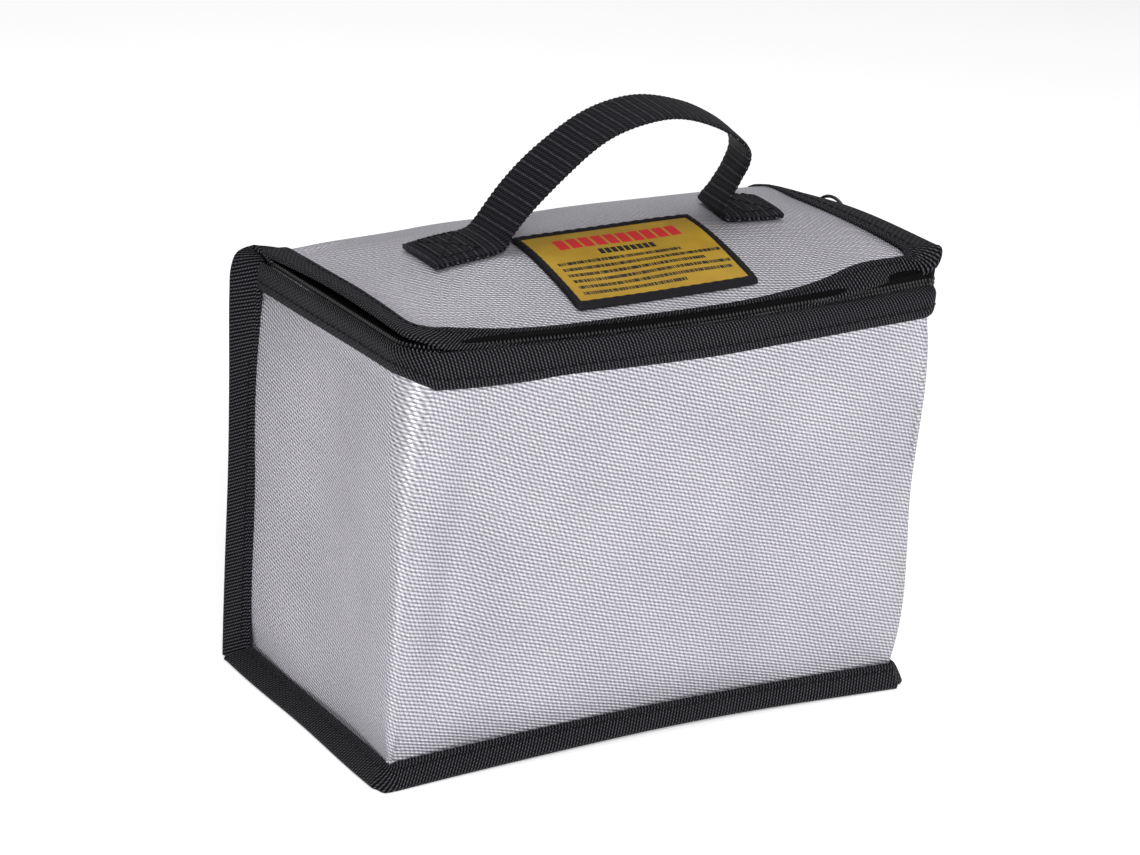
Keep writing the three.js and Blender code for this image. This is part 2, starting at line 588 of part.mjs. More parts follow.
/** The stitching that holds an end of the handle down: a box of thread on top of the webbing. */
function addStitchBox(name, lowX, highX) {
  const lowY = HANDLE_Y - WEBBING_WIDTH / 2 + 3;
  const highY = HANDLE_Y + WEBBING_WIDTH / 2 - 3;
  const lift = TAB_LIFT + WEBBING + 0.5;
  const corners = [[lowX, lowY], [highX, lowY], [highX, highY], [lowX, highY]];
  const inwards = (value, low, high) => {
    if (Math.abs(value - low) < 0.01) return value + STITCH_WIDTH;
    if (Math.abs(value - high) < 0.01) return value - STITCH_WIDTH;
    return value;
  };
  const rings = corners.flatMap(([x, y], index) => {
    const [nextX, nextY] = corners[(index + 1) % 4];
    return spread(0, 1, 4).slice(0, -1).map((t) => {
      const hereX = THREE.MathUtils.lerp(x, nextX, t);
      const hereY = THREE.MathUtils.lerp(y, nextY, t);
      const inX = inwards(hereX, lowX, highX);
      const inY = inwards(hereY, lowY, highY);
      return [
        overLid(hereX, hereY, lift), overLid(inX, inY, lift),
        overLid(inX, inY, lift + THREAD), overLid(hereX, hereY, lift + THREAD),
      ];
    });
  });
  addSweep(name, blackThread, rings, { loop: true });
}
addStitchBox('handle_stitch_left', -67, -51);
addStitchBox('handle_stitch_right', 57, 71.5);

// ---- slider and pull -----------------------------------------------------------------------------
const TEETH_MIDDLE_X = WIDTH / 2;
const PLATE_IN = COIL / 2 + 0.65; // from the middle of the teeth to a plate's near face
const PLATE_LOW = 155.2;
const PLATE_HIGH = 159.4;
const NECK_Z = 155.4 + COIL + COIL_GAP / 2;
const NECK = 0.4;
const CROWN_REACH = 2.9; // how far the bridge for the pull stands off the outer plate
const ringCentreX = TEETH_MIDDLE_X + PLATE_IN + PLATE + 0.4 + RING_WIRE / 2;

/** The slider: two plates joined by a thin neck, with a bridge for the pull, as one outline swept in Y. */
function addSlider() {
  const outerFace = TEETH_MIDDLE_X + PLATE_IN + PLATE;
  const innerFace = TEETH_MIDDLE_X - PLATE_IN - PLATE;
  const shape = new THREE.Shape();
  shape.moveTo(innerFace, PLATE_LOW);
  shape.lineTo(innerFace + PLATE, PLATE_LOW);
  shape.lineTo(innerFace + PLATE, NECK_Z - NECK / 2);
  shape.lineTo(outerFace - PLATE, NECK_Z - NECK / 2);
  shape.lineTo(outerFace - PLATE, PLATE_LOW);
  shape.lineTo(outerFace, PLATE_LOW);
  shape.lineTo(outerFace, PLATE_HIGH);
  shape.lineTo(outerFace - PLATE, PLATE_HIGH);
  shape.lineTo(outerFace - PLATE, NECK_Z + NECK / 2);
  shape.lineTo(innerFace + PLATE, NECK_Z + NECK / 2);
  shape.lineTo(innerFace + PLATE, PLATE_HIGH);
  shape.lineTo(innerFace, PLATE_HIGH);
  shape.closePath();
  const body = new THREE.ExtrudeGeometry(shape, { depth: SLIDER_LENGTH, bevelEnabled: false });
  body.rotateX(Math.PI / 2);
  body.translate(0, SLIDER_Y + SLIDER_LENGTH / 2, 0);
  const mesh = new THREE.Mesh(body, blackEnamel);
  mesh.name = 'slider_body';
  bag.add(mesh);

  const bridge = new THREE.Shape();
  const half = SLIDER_LENGTH / 2 - 0.8;
  bridge.moveTo(outerFace + 0.05, SLIDER_Y - half);
  bridge.lineTo(outerFace + CROWN_REACH, SLIDER_Y - half + 1);
  bridge.lineTo(outerFace + CROWN_REACH, SLIDER_Y + half - 1);
  bridge.lineTo(outerFace + 0.05, SLIDER_Y + half);
  bridge.lineTo(outerFace + 0.05, SLIDER_Y + half - 1.2);
  bridge.lineTo(outerFace + CROWN_REACH - 0.8, SLIDER_Y + half - 1.9);
  bridge.lineTo(outerFace + CROWN_REACH - 0.8, SLIDER_Y - half + 1.9);
  bridge.lineTo(outerFace + 0.05, SLIDER_Y - half + 1.2);
  bridge.closePath();
  const arch = new THREE.ExtrudeGeometry(bridge, { depth: 1.8, bevelEnabled: false });
  arch.translate(0, 0, (PLATE_LOW + PLATE_HIGH) / 2 - 0.9);
  const archMesh = new THREE.Mesh(arch, blackEnamel);
  archMesh.name = 'slider_bridge';
  bag.add(archMesh);
}
addSlider();

const RING_TURN = 5;
/** The pull: a wire ring threaded through the slider's bridge. */
function addPullRing() {
  const ring = new THREE.TorusGeometry(RING_RADIUS, RING_WIRE / 2, 8, 32);
  ring.rotateY(Math.PI / 2);
  ring.translate(0, -RING_RADIUS, 0);
  ring.rotateX(THREE.MathUtils.degToRad(RING_TILT));
  ring.rotateZ(THREE.MathUtils.degToRad(RING_TURN));
  ring.translate(ringCentreX, SLIDER_Y, (PLATE_LOW + PLATE_HIGH) / 2);
  const mesh = new THREE.Mesh(ring, blackEnamel);
  mesh.name = 'pull_ring';
  bag.add(mesh);
}
addPullRing();

export default bag;
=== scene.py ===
import functools
import json
import math

import bpy
import numpy as np
from mathutils import Matrix, Vector, noise


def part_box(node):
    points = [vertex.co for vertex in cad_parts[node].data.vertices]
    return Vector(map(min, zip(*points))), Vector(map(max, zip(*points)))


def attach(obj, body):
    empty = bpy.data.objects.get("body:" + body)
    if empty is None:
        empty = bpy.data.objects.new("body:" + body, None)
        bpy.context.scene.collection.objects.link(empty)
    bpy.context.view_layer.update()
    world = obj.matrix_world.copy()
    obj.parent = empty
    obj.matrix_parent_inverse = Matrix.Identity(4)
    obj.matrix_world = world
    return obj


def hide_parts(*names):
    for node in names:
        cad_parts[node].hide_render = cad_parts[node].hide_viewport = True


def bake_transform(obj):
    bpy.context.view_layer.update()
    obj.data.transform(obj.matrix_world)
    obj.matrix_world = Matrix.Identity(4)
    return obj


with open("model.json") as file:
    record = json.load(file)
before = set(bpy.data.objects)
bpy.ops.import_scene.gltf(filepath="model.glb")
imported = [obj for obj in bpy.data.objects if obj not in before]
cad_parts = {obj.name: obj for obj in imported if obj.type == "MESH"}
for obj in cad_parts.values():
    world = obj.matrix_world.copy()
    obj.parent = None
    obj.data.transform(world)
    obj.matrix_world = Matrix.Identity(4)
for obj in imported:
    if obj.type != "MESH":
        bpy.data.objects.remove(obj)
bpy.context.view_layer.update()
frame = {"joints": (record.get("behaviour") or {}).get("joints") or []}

# Lengths are millimetres until a mesh is made. X runs along the bag, the front faces -Y, Z is up.
MM = 0.001


def box_mm(node):
    """A CAD node's lowest and highest corners, in millimetres."""
    low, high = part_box(node)
    return low / MM, high / MM


WALL_LOW, WALL_HIGH = box_mm("wrap_panel")
HALF_WIDTH = WALL_HIGH.x
HALF_DEPTH = box_mm("back_panel")[1].y
RIM_Z = WALL_HIGH.z + 0.4
SEAM_Z = WALL_LOW.z - 0.3
PULL_PIVOT = next(Vector(j["pos_m"]) / MM for j in frame["joints"] if j["name"] == "pull_swing")
HANDLE_Y = sum(c.y for c in box_mm("handle_strap")) / 2
TAU = 2 * math.pi


# ---- camera --------------------------------------------------------------------------------------

def make_camera():
    """A long lens from the front left, a little above, rolled a few degrees."""
    azimuth, elevation, roll = (math.radians(d) for d in (-32.3, 19.6, 3.8))
    distance, aim_height, aim_right, aim_up = 1180.0, 75.0, -4.9, 20.2
    back = Vector((math.sin(azimuth) * math.cos(elevation),
                   -math.cos(azimuth) * math.cos(elevation), math.sin(elevation)))
    level = Vector((math.cos(azimuth), math.sin(azimuth), 0))
    upright = back.cross(level)
    right = level * math.cos(roll) + upright * math.sin(roll)
    up = upright * math.cos(roll) - level * math.sin(roll)
    place = Vector((0, 0, aim_height)) + right * aim_right + up * aim_up + back * distance
    data = bpy.data.cameras.new("camera")
    data.lens = 102.8
    data.sensor_width = 36
    camera = bpy.data.objects.new("camera", data)
    turn = Matrix((right, up, back)).transposed().to_4x4()
    camera.matrix_world = Matrix.Translation(place * MM) @ turn
    data.clip_start = 0.05
    data.clip_end = 50
    bpy.context.scene.collection.objects.link(camera)
    bpy.context.scene.camera = camera


make_camera()


# ---- smooth curves and the bag's form ------------------------------------------------------------

def smooth(places, values, x):
    """A smooth curve through values at given places, for an array of x. Values may have a column
    for each x."""
    places = np.asarray(places, float)
    values = np.asarray(values, float)
    slopes = np.gradient(values, places, axis=0)
    x = np.clip(np.asarray(x, float), places[0], places[-1])
    cell = np.clip(np.searchsorted(places, x, side="right") - 1, 0, len(places) - 2)
    span = places[cell + 1] - places[cell]
    t = (x - places[cell]) / span
    here, there = cell, cell + 1
    if values.ndim == 2:
        column = np.arange(len(x))
        here, there = (here, column), (there, column)
    return ((2 * t**3 - 3 * t**2 + 1) * values[here] + (t**3 - 2 * t**2 + t) * span * slopes[here]
            + (3 * t**2 - 2 * t**3) * values[there] + (t**3 - t**2) * span * slopes[there])


def path_through(points, count):
    """Evenly spaced points on one smooth curve through the given points."""
    points = np.asarray(points, float)
    steps = np.linalg.norm(np.diff(points, axis=0), axis=1)
    along = np.concatenate([[0], np.cumsum(np.sqrt(steps))])
    fine = np.linspace(0, along[-1], 40 * len(points))
    curve = np.stack([smooth(along, points[:, k], fine) for k in range(points.shape[1])], axis=1)
    length = np.concatenate([[0], np.cumsum(np.linalg.norm(np.diff(curve, axis=0), axis=1))])
    even = np.linspace(0, length[-1], count)
    return np.stack([np.interp(even, length, curve[:, k]) for k in range(points.shape[1])], axis=1)


def ease(x, low, high):
    """0 below low, 1 above high and smooth between."""
    t = np.clip((np.asarray(x, float) - low) / (high - low), 0, 1)
    return t * t * (3 - 2 * t)


def ripple(points, size, height, seed):
    """Gentle unevenness for an array of points: its wavelength and height in millimetres."""
    flat = points.reshape(-1, 3)
    shift = Vector((seed * 17.3, seed * 5.1, seed * 9.7))
    values = [noise.noise(Vector(p) / size + shift) for p in flat]
    return np.array(values).reshape(points.shape[:-1]) * height


# The lid's crown: heights on a coarse grid, front row first.
CROWN_X = (-97, -60, 0, 60, 97)
CROWN_Y = (-47, -30, -5, 20, 42, 52, 57.5)
CROWN_Z = (
    (157.5, 157.8, 158.6, 161.5, 166.0),
    (158.4, 161.8, 163.8, 165.8, 167.0),
    (159.2, 166.0, 169.2, 169.8, 167.6),
    (158.8, 166.2, 169.8, 170.6, 167.8),
    (158.4, 163.4, 165.8, 166.8, 166.3),
    (157.8, 160.2, 161.4, 162.2, 162.0),
    (155.4, 155.4, 155.4, 155.4, 155.4),
)


def crown(x, y):
    """Height of the lid's outer face, for arrays x and y of one shape."""
    x, y = np.broadcast_arrays(np.asarray(x, float), np.asarray(y, float))
    rows = np.stack([smooth(CROWN_X, row, x.ravel()) for row in CROWN_Z])
    return smooth(CROWN_Y, rows, y.ravel()).reshape(x.shape)


# The lid's front edge droops over the zip, most in its middle.
NOSE_X = (-97, -86, -74, -58, -30, 40, 62, 76, 97)
NOSE = (-0.3, 0.0, 0.45, 0.8, 1.0, 1.0, 0.65, 0.2, 0.6)


def lid_top(x, y):
    """Height of the lid's outer face with its drooping front edge."""
    return crown(x, y) - 2.6 * smooth(NOSE_X, NOSE, x) * ease(-np.asarray(y, float), 42, 52)


def lid_edge(x):
    """Where the lid's cloth goes under its front tape."""
    return -47.0 - 4.2 * smooth(NOSE_X, NOSE, x)


def outline(place, half_width, half_depth, left_radius, right_radius, back_radius, back_y=None):
    """A point on a rounded box's plan. place runs round it from 0 to 8: left end, corner, front,
    corner, right end, corner, back, corner. The two radii are the front corners'."""
    back_y = half_depth if back_y is None else back_y
    place = place % 8
    part = int(place)
    t = place - part
    left_x, left_y = left_radius - half_width, left_radius - half_depth
    right_x, right_y = half_width - right_radius, right_radius - half_depth
    back_x, end_y = half_width - back_radius, back_y - back_radius
    corners = {1: (left_x, left_y, left_radius, 180), 3: (right_x, right_y, right_radius, 270),
               5: (back_x, end_y, back_radius, 0), 7: (-back_x, end_y, back_radius, 90)}
    if part in corners:
        x, y, radius, start = corners[part]
        angle = math.radians(start + 90 * t)
        return x + radius * math.cos(angle), y + radius * math.sin(angle)
    if part == 0:
        return -half_width, end_y + (left_y - end_y) * t
    if part == 2:
        return left_x + (right_x - left_x) * t, -half_depth
    if part == 4:
        return half_width, right_y + (end_y - right_y) * t
    return back_x * (1 - 2 * t), back_y


BACK_RADIUS = 5.5
# The front corners are creased at the bottom; the left one rounds out below the rim.
CORNER_HEIGHTS = (8, 30, 80, 125, 155)
LEFT_RADII = (1.8, 3.4, 5.6, 8.5, 12.5)
RIGHT_RADII = (3.0, 3.5, 4.0, 4.5, 5.0)


@functools.lru_cache(maxsize=None)
def front_radii(z):
    """The left and right front corners' radii at a height."""
    return float(smooth(CORNER_HEIGHTS, LEFT_RADII, z)), float(smooth(CORNER_HEIGHTS, RIGHT_RADII, z))


def wall(place, z):
    """A point on the outside of the walls, which belly at the mouth and are tucked in at the seam."""
    rise = min(max(z / RIM_Z, 0), 1)
    x, y = outline(place, HALF_WIDTH, HALF_DEPTH, *front_radii(round(float(z), 4)), BACK_RADIUS)
    frontness = float(ease(-y, HALF_DEPTH - 5, HALF_DEPTH))
    middle = frontness * (1 - (x / HALF_WIDTH) ** 2)
    bow = -4.5 + 7.5 * rise**0.6
    return np.array((x, y - bow * middle, z - 1.5 * middle * rise**2))


def off_wall(place, out, z):
    """A point that stands off the walls by `out`."""
    before, after = wall(place - 0.02, z), wall(place + 0.02, z)
    away = np.array((after[1] - before[1], before[0] - after[0], 0))
    return wall(place, z) + away / np.linalg.norm(away) * out


def at_mouth(place, out, z):
    """The same at the mouth, which hangs a little lower in the middle of the front."""
    point = off_wall(place, out, RIM_Z)
    point[2] += z - RIM_Z
    return point


def places(start, end, straight=3.0, corner=12):
    """Places round the bag, a step every few millimetres along straight sides and more round corners."""
    lengths = {0: 100, 2: 190, 4: 100, 6: 200}
    found = []
    for part in range(math.floor(start), math.ceil(end)):
        count = round(lengths[part % 8] / straight) if part % 2 == 0 else corner
        found += [part + k / count for k in range(count)]
    inner = [p for p in found if start + 0.004 < p < end - 0.004]
    return [start] + inner + [end]


# ---- meshes --------------------------------------------------------------------------------------

def unit(vectors):
    return vectors / np.maximum(np.linalg.norm(vectors, axis=-1, keepdims=True), 1e-9)


def lengths_along(points):
    """Distance travelled along a row of points, in millimetres."""
    return np.concatenate([[0], np.cumsum(np.linalg.norm(np.diff(points, axis=0), axis=1))])


def make_piece(name, points, faces, corner_uv, look, body, replaces=(), ride=True):
    """A mesh piece from points in millimetres, faces and one UV for each face corner, in millimetres."""
    mesh = bpy.data.meshes.new(name)
    mesh.from_pydata((np.asarray(points) * MM).tolist(), [], [list(map(int, f)) for f in faces])
    layer = mesh.uv_layers.new(name="Thread")
    layer.data.foreach_set("uv", np.asarray(corner_uv, np.float32).ravel())
    mesh.polygons.foreach_set("use_smooth", [True] * len(mesh.polygons))
    mesh.set_sharp_from_angle(angle=math.radians(50))
    mesh.materials.append(look)
    piece = bpy.data.objects.new(name, mesh)
    bpy.context.scene.collection.objects.link(piece)
    for node in replaces:
        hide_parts(node)
    if ride:
        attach(piece, body)
    return piece


def grid_normals(grid):
    along = np.gradient(grid, axis=0)
    across = np.gradient(grid, axis=1)
    return unit(np.cross(along, across))


def cloth_piece(name, grid, look, body, thickness, **options):
    """A sheet of cloth: a grid of points on its outer face, and the same grid one thickness inside."""
    columns, rows = grid.shape[:2]
    u = lengths_along(grid[:, rows // 2])
    v = lengths_along(grid[columns // 2])
    uv = np.stack(np.meshgrid(u, v, indexing="ij"), axis=-1).reshape(-1, 2)
    inner = grid - grid_normals(grid) * thickness
    points = np.concatenate([grid.reshape(-1, 3), inner.reshape(-1, 3)])
    shift = columns * rows
    cell = np.arange(shift).reshape(columns, rows)
    a, b, c, d = (s.ravel() for s in (cell[:-1, :-1], cell[1:, :-1], cell[1:, 1:], cell[:-1, 1:]))
    outer = np.stack([a, b, c, d], axis=1)
    border = np.concatenate([cell[:-1, 0], cell[-1, :-1], cell[:0:-1, -1], cell[0, :0:-1]])
    after = np.roll(border, -1)
    rim = np.stack([after, border, border + shift, after + shift], axis=1)
    faces = np.concatenate([outer, outer[:, ::-1] + shift, rim])
    corner_uv = np.concatenate([uv, uv])[faces.ravel()]
    return make_piece(name, points, faces, corner_uv, look, body, **options)


def sweep_data(rings, loop=False):
    """Faces and UVs that join a row of equal closed sections, with a cap on each open end."""
    rings = np.asarray(rings, float)
    count, sides = rings.shape[:2]
    around = np.concatenate([rings, rings[:, :1]], axis=1)
    v = lengths_along(around[count // 2])
    line = rings.mean(axis=1)
    line = np.concatenate([line, line[:1]]) if loop else line
    u = lengths_along(line)
    faces, uvs = [], []
    for i in range(count if loop else count - 1):
        here, there = i * sides, ((i + 1) % count) * sides
        for j in range(sides):
            k = (j + 1) % sides
            faces.append((here + j, here + k, there + k, there + j))
            uvs += [(u[i], v[j]), (u[i], v[j + 1]), (u[i + 1], v[j + 1]), (u[i + 1], v[j])]
    if not loop:
        last = (count - 1) * sides
        faces.append(tuple(range(sides))[::-1])
        uvs += [(u[0], v[j]) for j in range(sides)][::-1]
        faces.append(tuple(last + j for j in range(sides)))
        uvs += [(u[-1], v[j]) for j in range(sides)]
    return rings.reshape(-1, 3), faces, uvs


def signed_volume(points, faces):
    total = 0.0
    for face in faces:
        for i in range(1, len(face) - 1):
            total += np.dot(points[face[0]], np.cross(points[face[i]], points[face[i + 1]]))
    return total


def sweep_piece(name, rings, look, body, loop=False, **options):
    """One closed body through a row of sections."""
    points, faces, uvs = sweep_data(rings, loop)
    if signed_volume(points, faces) < 0:
        sizes = [len(face) for face in faces]
        starts = np.concatenate([[0], np.cumsum(sizes)[:-1]])
        uvs = [uvs[s + k] for s, n in zip(starts, sizes) for k in reversed(range(n))]
        faces = [face[::-1] for face in faces]
    return make_piece(name, points, faces, uvs, look, body, **options)


def many_piece(name, bodies, look, body, **options):
    """Many small separate bodies in one piece, such as the stitches of one seam."""
    points, faces, uvs, shift = [], [], [], 0
    for rings in bodies:
        p, f, w = sweep_data(rings)
        if signed_volume(p, f) < 0:
            p, f, w = sweep_data(np.asarray(rings)[:, ::-1])
        points.append(p)
        faces += [tuple(k + shift for k in face) for face in f]
        uvs += w
        shift += len(p)
    return make_piece(name, np.concatenate(points), faces, uvs, look, body, **options)


# ---- looks ---------------------------------------------------------------------------------------

def linear(code):
    """A linear colour from an sRGB hex code."""
    parts = [int(code[k:k + 2], 16) / 255 for k in (1, 3, 5)]
    return tuple(p / 12.92 if p <= 0.04045 else ((p + 0.055) / 1.055) ** 2.4 for p in parts) + (1.0,)


def put(tree, kind, links=(), **settings):
    """Adds one node: settings are its own values, links fill its sockets with a value or another socket."""
    node = tree.nodes.new(kind)
    for key, value in settings.items():
        setattr(node, key, value)
    for key, value in dict(links).items():
        socket = node.inputs[key]
        if isinstance(value, bpy.types.NodeSocket):
            tree.links.new(value, socket)
        else:
            socket.default_value = value
    return node


def new_look(name, slot):
    """An empty material with its shader, and the thread coordinates in millimetres."""
    look = bpy.data.materials.new(name)
    look.use_nodes = True
    look["slot"] = slot
    tree = look.node_tree
    shader = tree.nodes["Principled BSDF"]
    thread = put(tree, "ShaderNodeUVMap", uv_map="Thread").outputs["UV"]
    return look, tree, shader, thread


def calc(tree, operation, *values):
    """One step of arithmetic between sockets and numbers."""
    return put(tree, "ShaderNodeMath", dict(enumerate(values)), operation=operation).outputs[0]


def wave(tree, thread, cycles_u, cycles_v):
    """A cosine wave over the cloth, 0 to 1, from its cycles per millimetre along each thread direction."""
    turns = put(tree, "ShaderNodeVectorMath", {0: thread, 1: (cycles_u * TAU, cycles_v * TAU, 0)},
                operation="DOT_PRODUCT").outputs["Value"]
    return calc(tree, "MULTIPLY_ADD", calc(tree, "COSINE", turns), 0.5, 0.5)


def wandering(tree, thread, size, amount):
    """Thread coordinates that wander a little, as woven threads do."""
    drift = put(tree, "ShaderNodeTexNoise", {"Vector": thread, "Scale": 1 / size, "Detail": 2.0})
    centred = put(tree, "ShaderNodeVectorMath", {0: drift.outputs["Color"], 1: (0.5, 0.5, 0.5)},
                  operation="SUBTRACT").outputs[0]
    return put(tree, "ShaderNodeVectorMath", {0: centred, 1: (amount, amount, 0), 2: thread},
               operation="MULTIPLY_ADD").outputs[0]


def coloured(tree, factor, *codes):
    """A colour ramp through hex codes at even places."""
    ramp = put(tree, "ShaderNodeValToRGB", {"Fac": factor})
    stops = ramp.color_ramp.elements
    while len(stops) < len(codes):
        stops.new(0.5)
    for index, code in enumerate(codes):
        stops[index].position = index / (len(codes) - 1)
        stops[index].color = linear(code)
    return ramp.outputs["Color"]


def raise_surface(tree, shader, height, depth_mm):
    bump = put(tree, "ShaderNodeBump", {"Height": height, "Strength": 1.0, "Distance": depth_mm * MM})
    tree.links.new(bump.outputs["Normal"], shader.inputs["Normal"])


def glass_cloth(name, slot, dark, middle, light, metallic, roughness, depth):
    """Satin-woven glass cloth: floats in slanting rows and a pinhole where each thread dips. The base colour
    is painted light on each float, as painted glints one by one, and dark in each pinhole, as painted shade."""
    look, tree, shader, thread = new_look(name, slot)
    threads = wandering(tree, thread, 9.0, 0.5)
    rows = wave(tree, threads, 0.220, 0.735)  # rows of floats 1.30 mm apart, falling to the right
    ends = wave(tree, threads, 0.606, 0.257)  # floats follow each other every 1.52 mm
    # painted shade: each pinhole darkens the base colour as well as lowering the bump
    shaded_pinhole = calc(tree, "POWER", calc(tree, "MULTIPLY", rows, ends), 2.0)
    # painted highlight: the top of each float lightens the base colour as well as raising the bump
    crown_row = calc(tree, "SUBTRACT", 1.0, rows)
    highlit_crest = calc(tree, "MULTIPLY", crown_row, calc(tree, "SUBTRACT", 1.0, ends))
    height = calc(tree, "MULTIPLY_ADD", highlit_crest, 0.4, calc(tree, "MULTIPLY_ADD", crown_row, 0.25, 0.35))
    height = calc(tree, "MULTIPLY_ADD", shaded_pinhole, -0.35, height)
    yarn = put(tree, "ShaderNodeTexNoise", {"Vector": thread, "Scale": 1.3, "Detail": 2.0}).outputs["Fac"]
    cloudy = put(tree, "ShaderNodeTexNoise", {"Vector": thread, "Scale": 0.03, "Detail": 3.0}).outputs["Fac"]
    tone_and_painted_light = calc(tree, "MULTIPLY_ADD", calc(tree, "SUBTRACT", yarn, 0.5), 0.9, height)
    tone_and_painted_light = calc(tree, "MULTIPLY_ADD", calc(tree, "SUBTRACT", cloudy, 0.5), 0.15, tone_and_painted_light)
    # the base colour follows the weave's height: painted highlights on the floats, painted shade in the dips
    tree.links.new(coloured(tree, tone_and_painted_light, dark, middle, light), shader.inputs["Base Color"])
    shader.inputs["Metallic"].default_value = metallic
    rough = calc(tree, "MULTIPLY_ADD", height, -0.2, roughness)
    tree.links.new(rough, shader.inputs["Roughness"])
    raise_surface(tree, shader, calc(tree, "MULTIPLY_ADD", yarn, 0.3, height), depth)
    return look


def ribbed_tape(name, slot, rib, dark, light, depth):
    """Woven polyester tape with ribs across its width, each rib a row of short floats, on near-black. The
    crests of the floats are painted lighter in the base colour as fine slanting lines: painted highlights.
    The ribs are drawn a little coarser than real ones."""
    look, tree, shader, thread = new_look(name, slot)
    threads = wandering(tree, thread, 6.0, 0.3)
    ribs = wave(tree, threads, 1 / rib, 0.5 / rib)
    floats = wave(tree, threads, 0.5 / rib, 1 / 0.95)
    crossed = calc(tree, "MULTIPLY_ADD", floats, 0.38, 0.62)
    height = calc(tree, "MULTIPLY", calc(tree, "POWER", ribs, 0.7), crossed)
    fuzz = put(tree, "ShaderNodeTexNoise", {"Vector": thread, "Scale": 1.6, "Detail": 3.0}).outputs["Fac"]
    tone_and_painted_light = calc(tree, "MULTIPLY_ADD", calc(tree, "SUBTRACT", fuzz, 0.5), 0.5, height)
    # painted highlight: only the tops of the ribs are lightened in the base colour
    highlit_crest = calc(tree, "POWER", calc(tree, "MAXIMUM", tone_and_painted_light, 0.0), 3.0)
    tree.links.new(coloured(tree, highlit_crest, dark, light), shader.inputs["Base Color"])
    shader.inputs["Roughness"].default_value = 0.55
    shader.inputs["Specular IOR Level"].default_value = 0.06
    raise_surface(tree, shader, calc(tree, "MULTIPLY_ADD", fuzz, 0.3, height), depth)
    return look


def webbing_look():
    """Flat-woven black webbing: slanting floats, their tops painted lighter as painted sheen, and a row of
    weft crowns every 4 mm painted as pale specks, which are painted highlights; both drawn a little coarser
    than real ones."""
    look, tree, shader, thread = new_look("polypropylene_webbing", "black_webbing")
    threads = wandering(tree, thread, 8.0, 0.35)
    floats = wave(tree, threads, 0.55, 0.62)
    picks = wave(tree, threads, 1 / 2.0, 0)
    swell = calc(tree, "MULTIPLY_ADD", picks, 0.4, 0.6)
    height = calc(tree, "MULTIPLY", swell, calc(tree, "MULTIPLY_ADD", floats, 0.6, 0.4))
    # painted highlights: pale specks on the weft crowns, mixed into the base colour
    weft = calc(tree, "POWER", wave(tree, threads, 1 / 4.0, 0), 22.0)
    crowns = calc(tree, "POWER", wave(tree, threads, 0, 1 / 1.25), 4.0)
    painted_glint_dots = calc(tree, "MULTIPLY", weft, crowns)
    # painted sheen: the tops of the floats lighter in the base colour
    base = coloured(tree, calc(tree, "POWER", height, 2.0), "#010102", "#36343a")
    mixed = put(tree, "ShaderNodeMix", {0: painted_glint_dots, 6: base, 7: linear("#6d6b72")}, data_type="RGBA")
    tree.links.new(mixed.outputs[2], shader.inputs["Base Color"])
    shader.inputs["Roughness"].default_value = 0.55
    shader.inputs["Specular IOR Level"].default_value = 0.06
    raise_surface(tree, shader, calc(tree, "MULTIPLY_ADD", painted_glint_dots, 0.5, height), 0.4)
    return look


def thread_look(name, code_dark, code_light, twist=0.9):
    """Twisted polyester sewing thread: a slanting ply line every turn, painted lighter on each ply's top and
    darker between plies: painted highlight and painted shade.
    """
    look, tree, shader, thread = new_look(name, "black_thread")
    ply = wave(tree, thread, 1 / twist, 1 / 1.2)
    # painted highlight and shade: the plies lighter on top and darker between them in the base colour
    tree.links.new(coloured(tree, ply, code_dark, code_light), shader.inputs["Base Color"])
    shader.inputs["Roughness"].default_value = 0.5
    shader.inputs["Specular IOR Level"].default_value = 0.12
    raise_surface(tree, shader, ply, 0.06)
    return look


def nylon_look():
    """Moulded nylon coil: smooth, with a soft gloss and faint handling haze. Its black is drawn darker
    still, as painted shade under the lid binding.
    """
    look, tree, shader, thread = new_look("nylon_coil", "black_nylon")
    haze = put(tree, "ShaderNodeTexNoise", {"Vector": thread, "Scale": 0.8, "Detail": 4.0}).outputs["Fac"]
    # painted shade: the black of the coil drawn darker for the shade under the lid binding
    tree.links.new(coloured(tree, haze, "#0c0c0e", "#1d1d20"), shader.inputs["Base Color"])
    tree.links.new(calc(tree, "MULTIPLY_ADD", haze, 0.2, 0.28), shader.inputs["Roughness"])
    shader.inputs["IOR"].default_value = 1.53
    return look


def enamel_look():
    """Baked black enamel on zinc and wire: a hard gloss, thinned to dull metal specks where it rubs."""
    look, tree, shader, thread = new_look("baked_enamel", "black_enamel")
    rub = put(tree, "ShaderNodeTexNoise", {"Vector": thread, "Scale": 2.2, "Detail": 5.0}).outputs["Fac"]
    worn = calc(tree, "GREATER_THAN", rub, 0.66)
    mixed = put(tree, "ShaderNodeMix", {0: worn, 6: linear("#121214"), 7: linear("#3c3c40")},
                data_type="RGBA")
    tree.links.new(mixed.outputs[2], shader.inputs["Base Color"])
    tree.links.new(calc(tree, "MULTIPLY_ADD", rub, 0.25, 0.2), shader.inputs["Roughness"])
    shader.inputs["Coat Weight"].default_value = 0.4
    shader.inputs["Coat Roughness"].default_value = 0.15
    raise_surface(tree, shader, rub, 0.02)
    return look


def inside_box(tree, x, y, middle, half):
    """1 inside an upright box on the label, 0 outside."""
    across = calc(tree, "LESS_THAN", calc(tree, "ABSOLUTE", calc(tree, "SUBTRACT", x, middle[0])), half[0])
    along = calc(tree, "LESS_THAN", calc(tree, "ABSOLUTE", calc(tree, "SUBTRACT", y, middle[1])), half[1])
    return calc(tree, "MULTIPLY", across, along)


def blocks(tree, x, pitch, share):
    """1 on upright blocks a pitch apart, 0 in the gaps between them."""
    return calc(tree, "LESS_THAN", calc(tree, "FRACT", calc(tree, "MULTIPLY", x, 1 / pitch)), share)


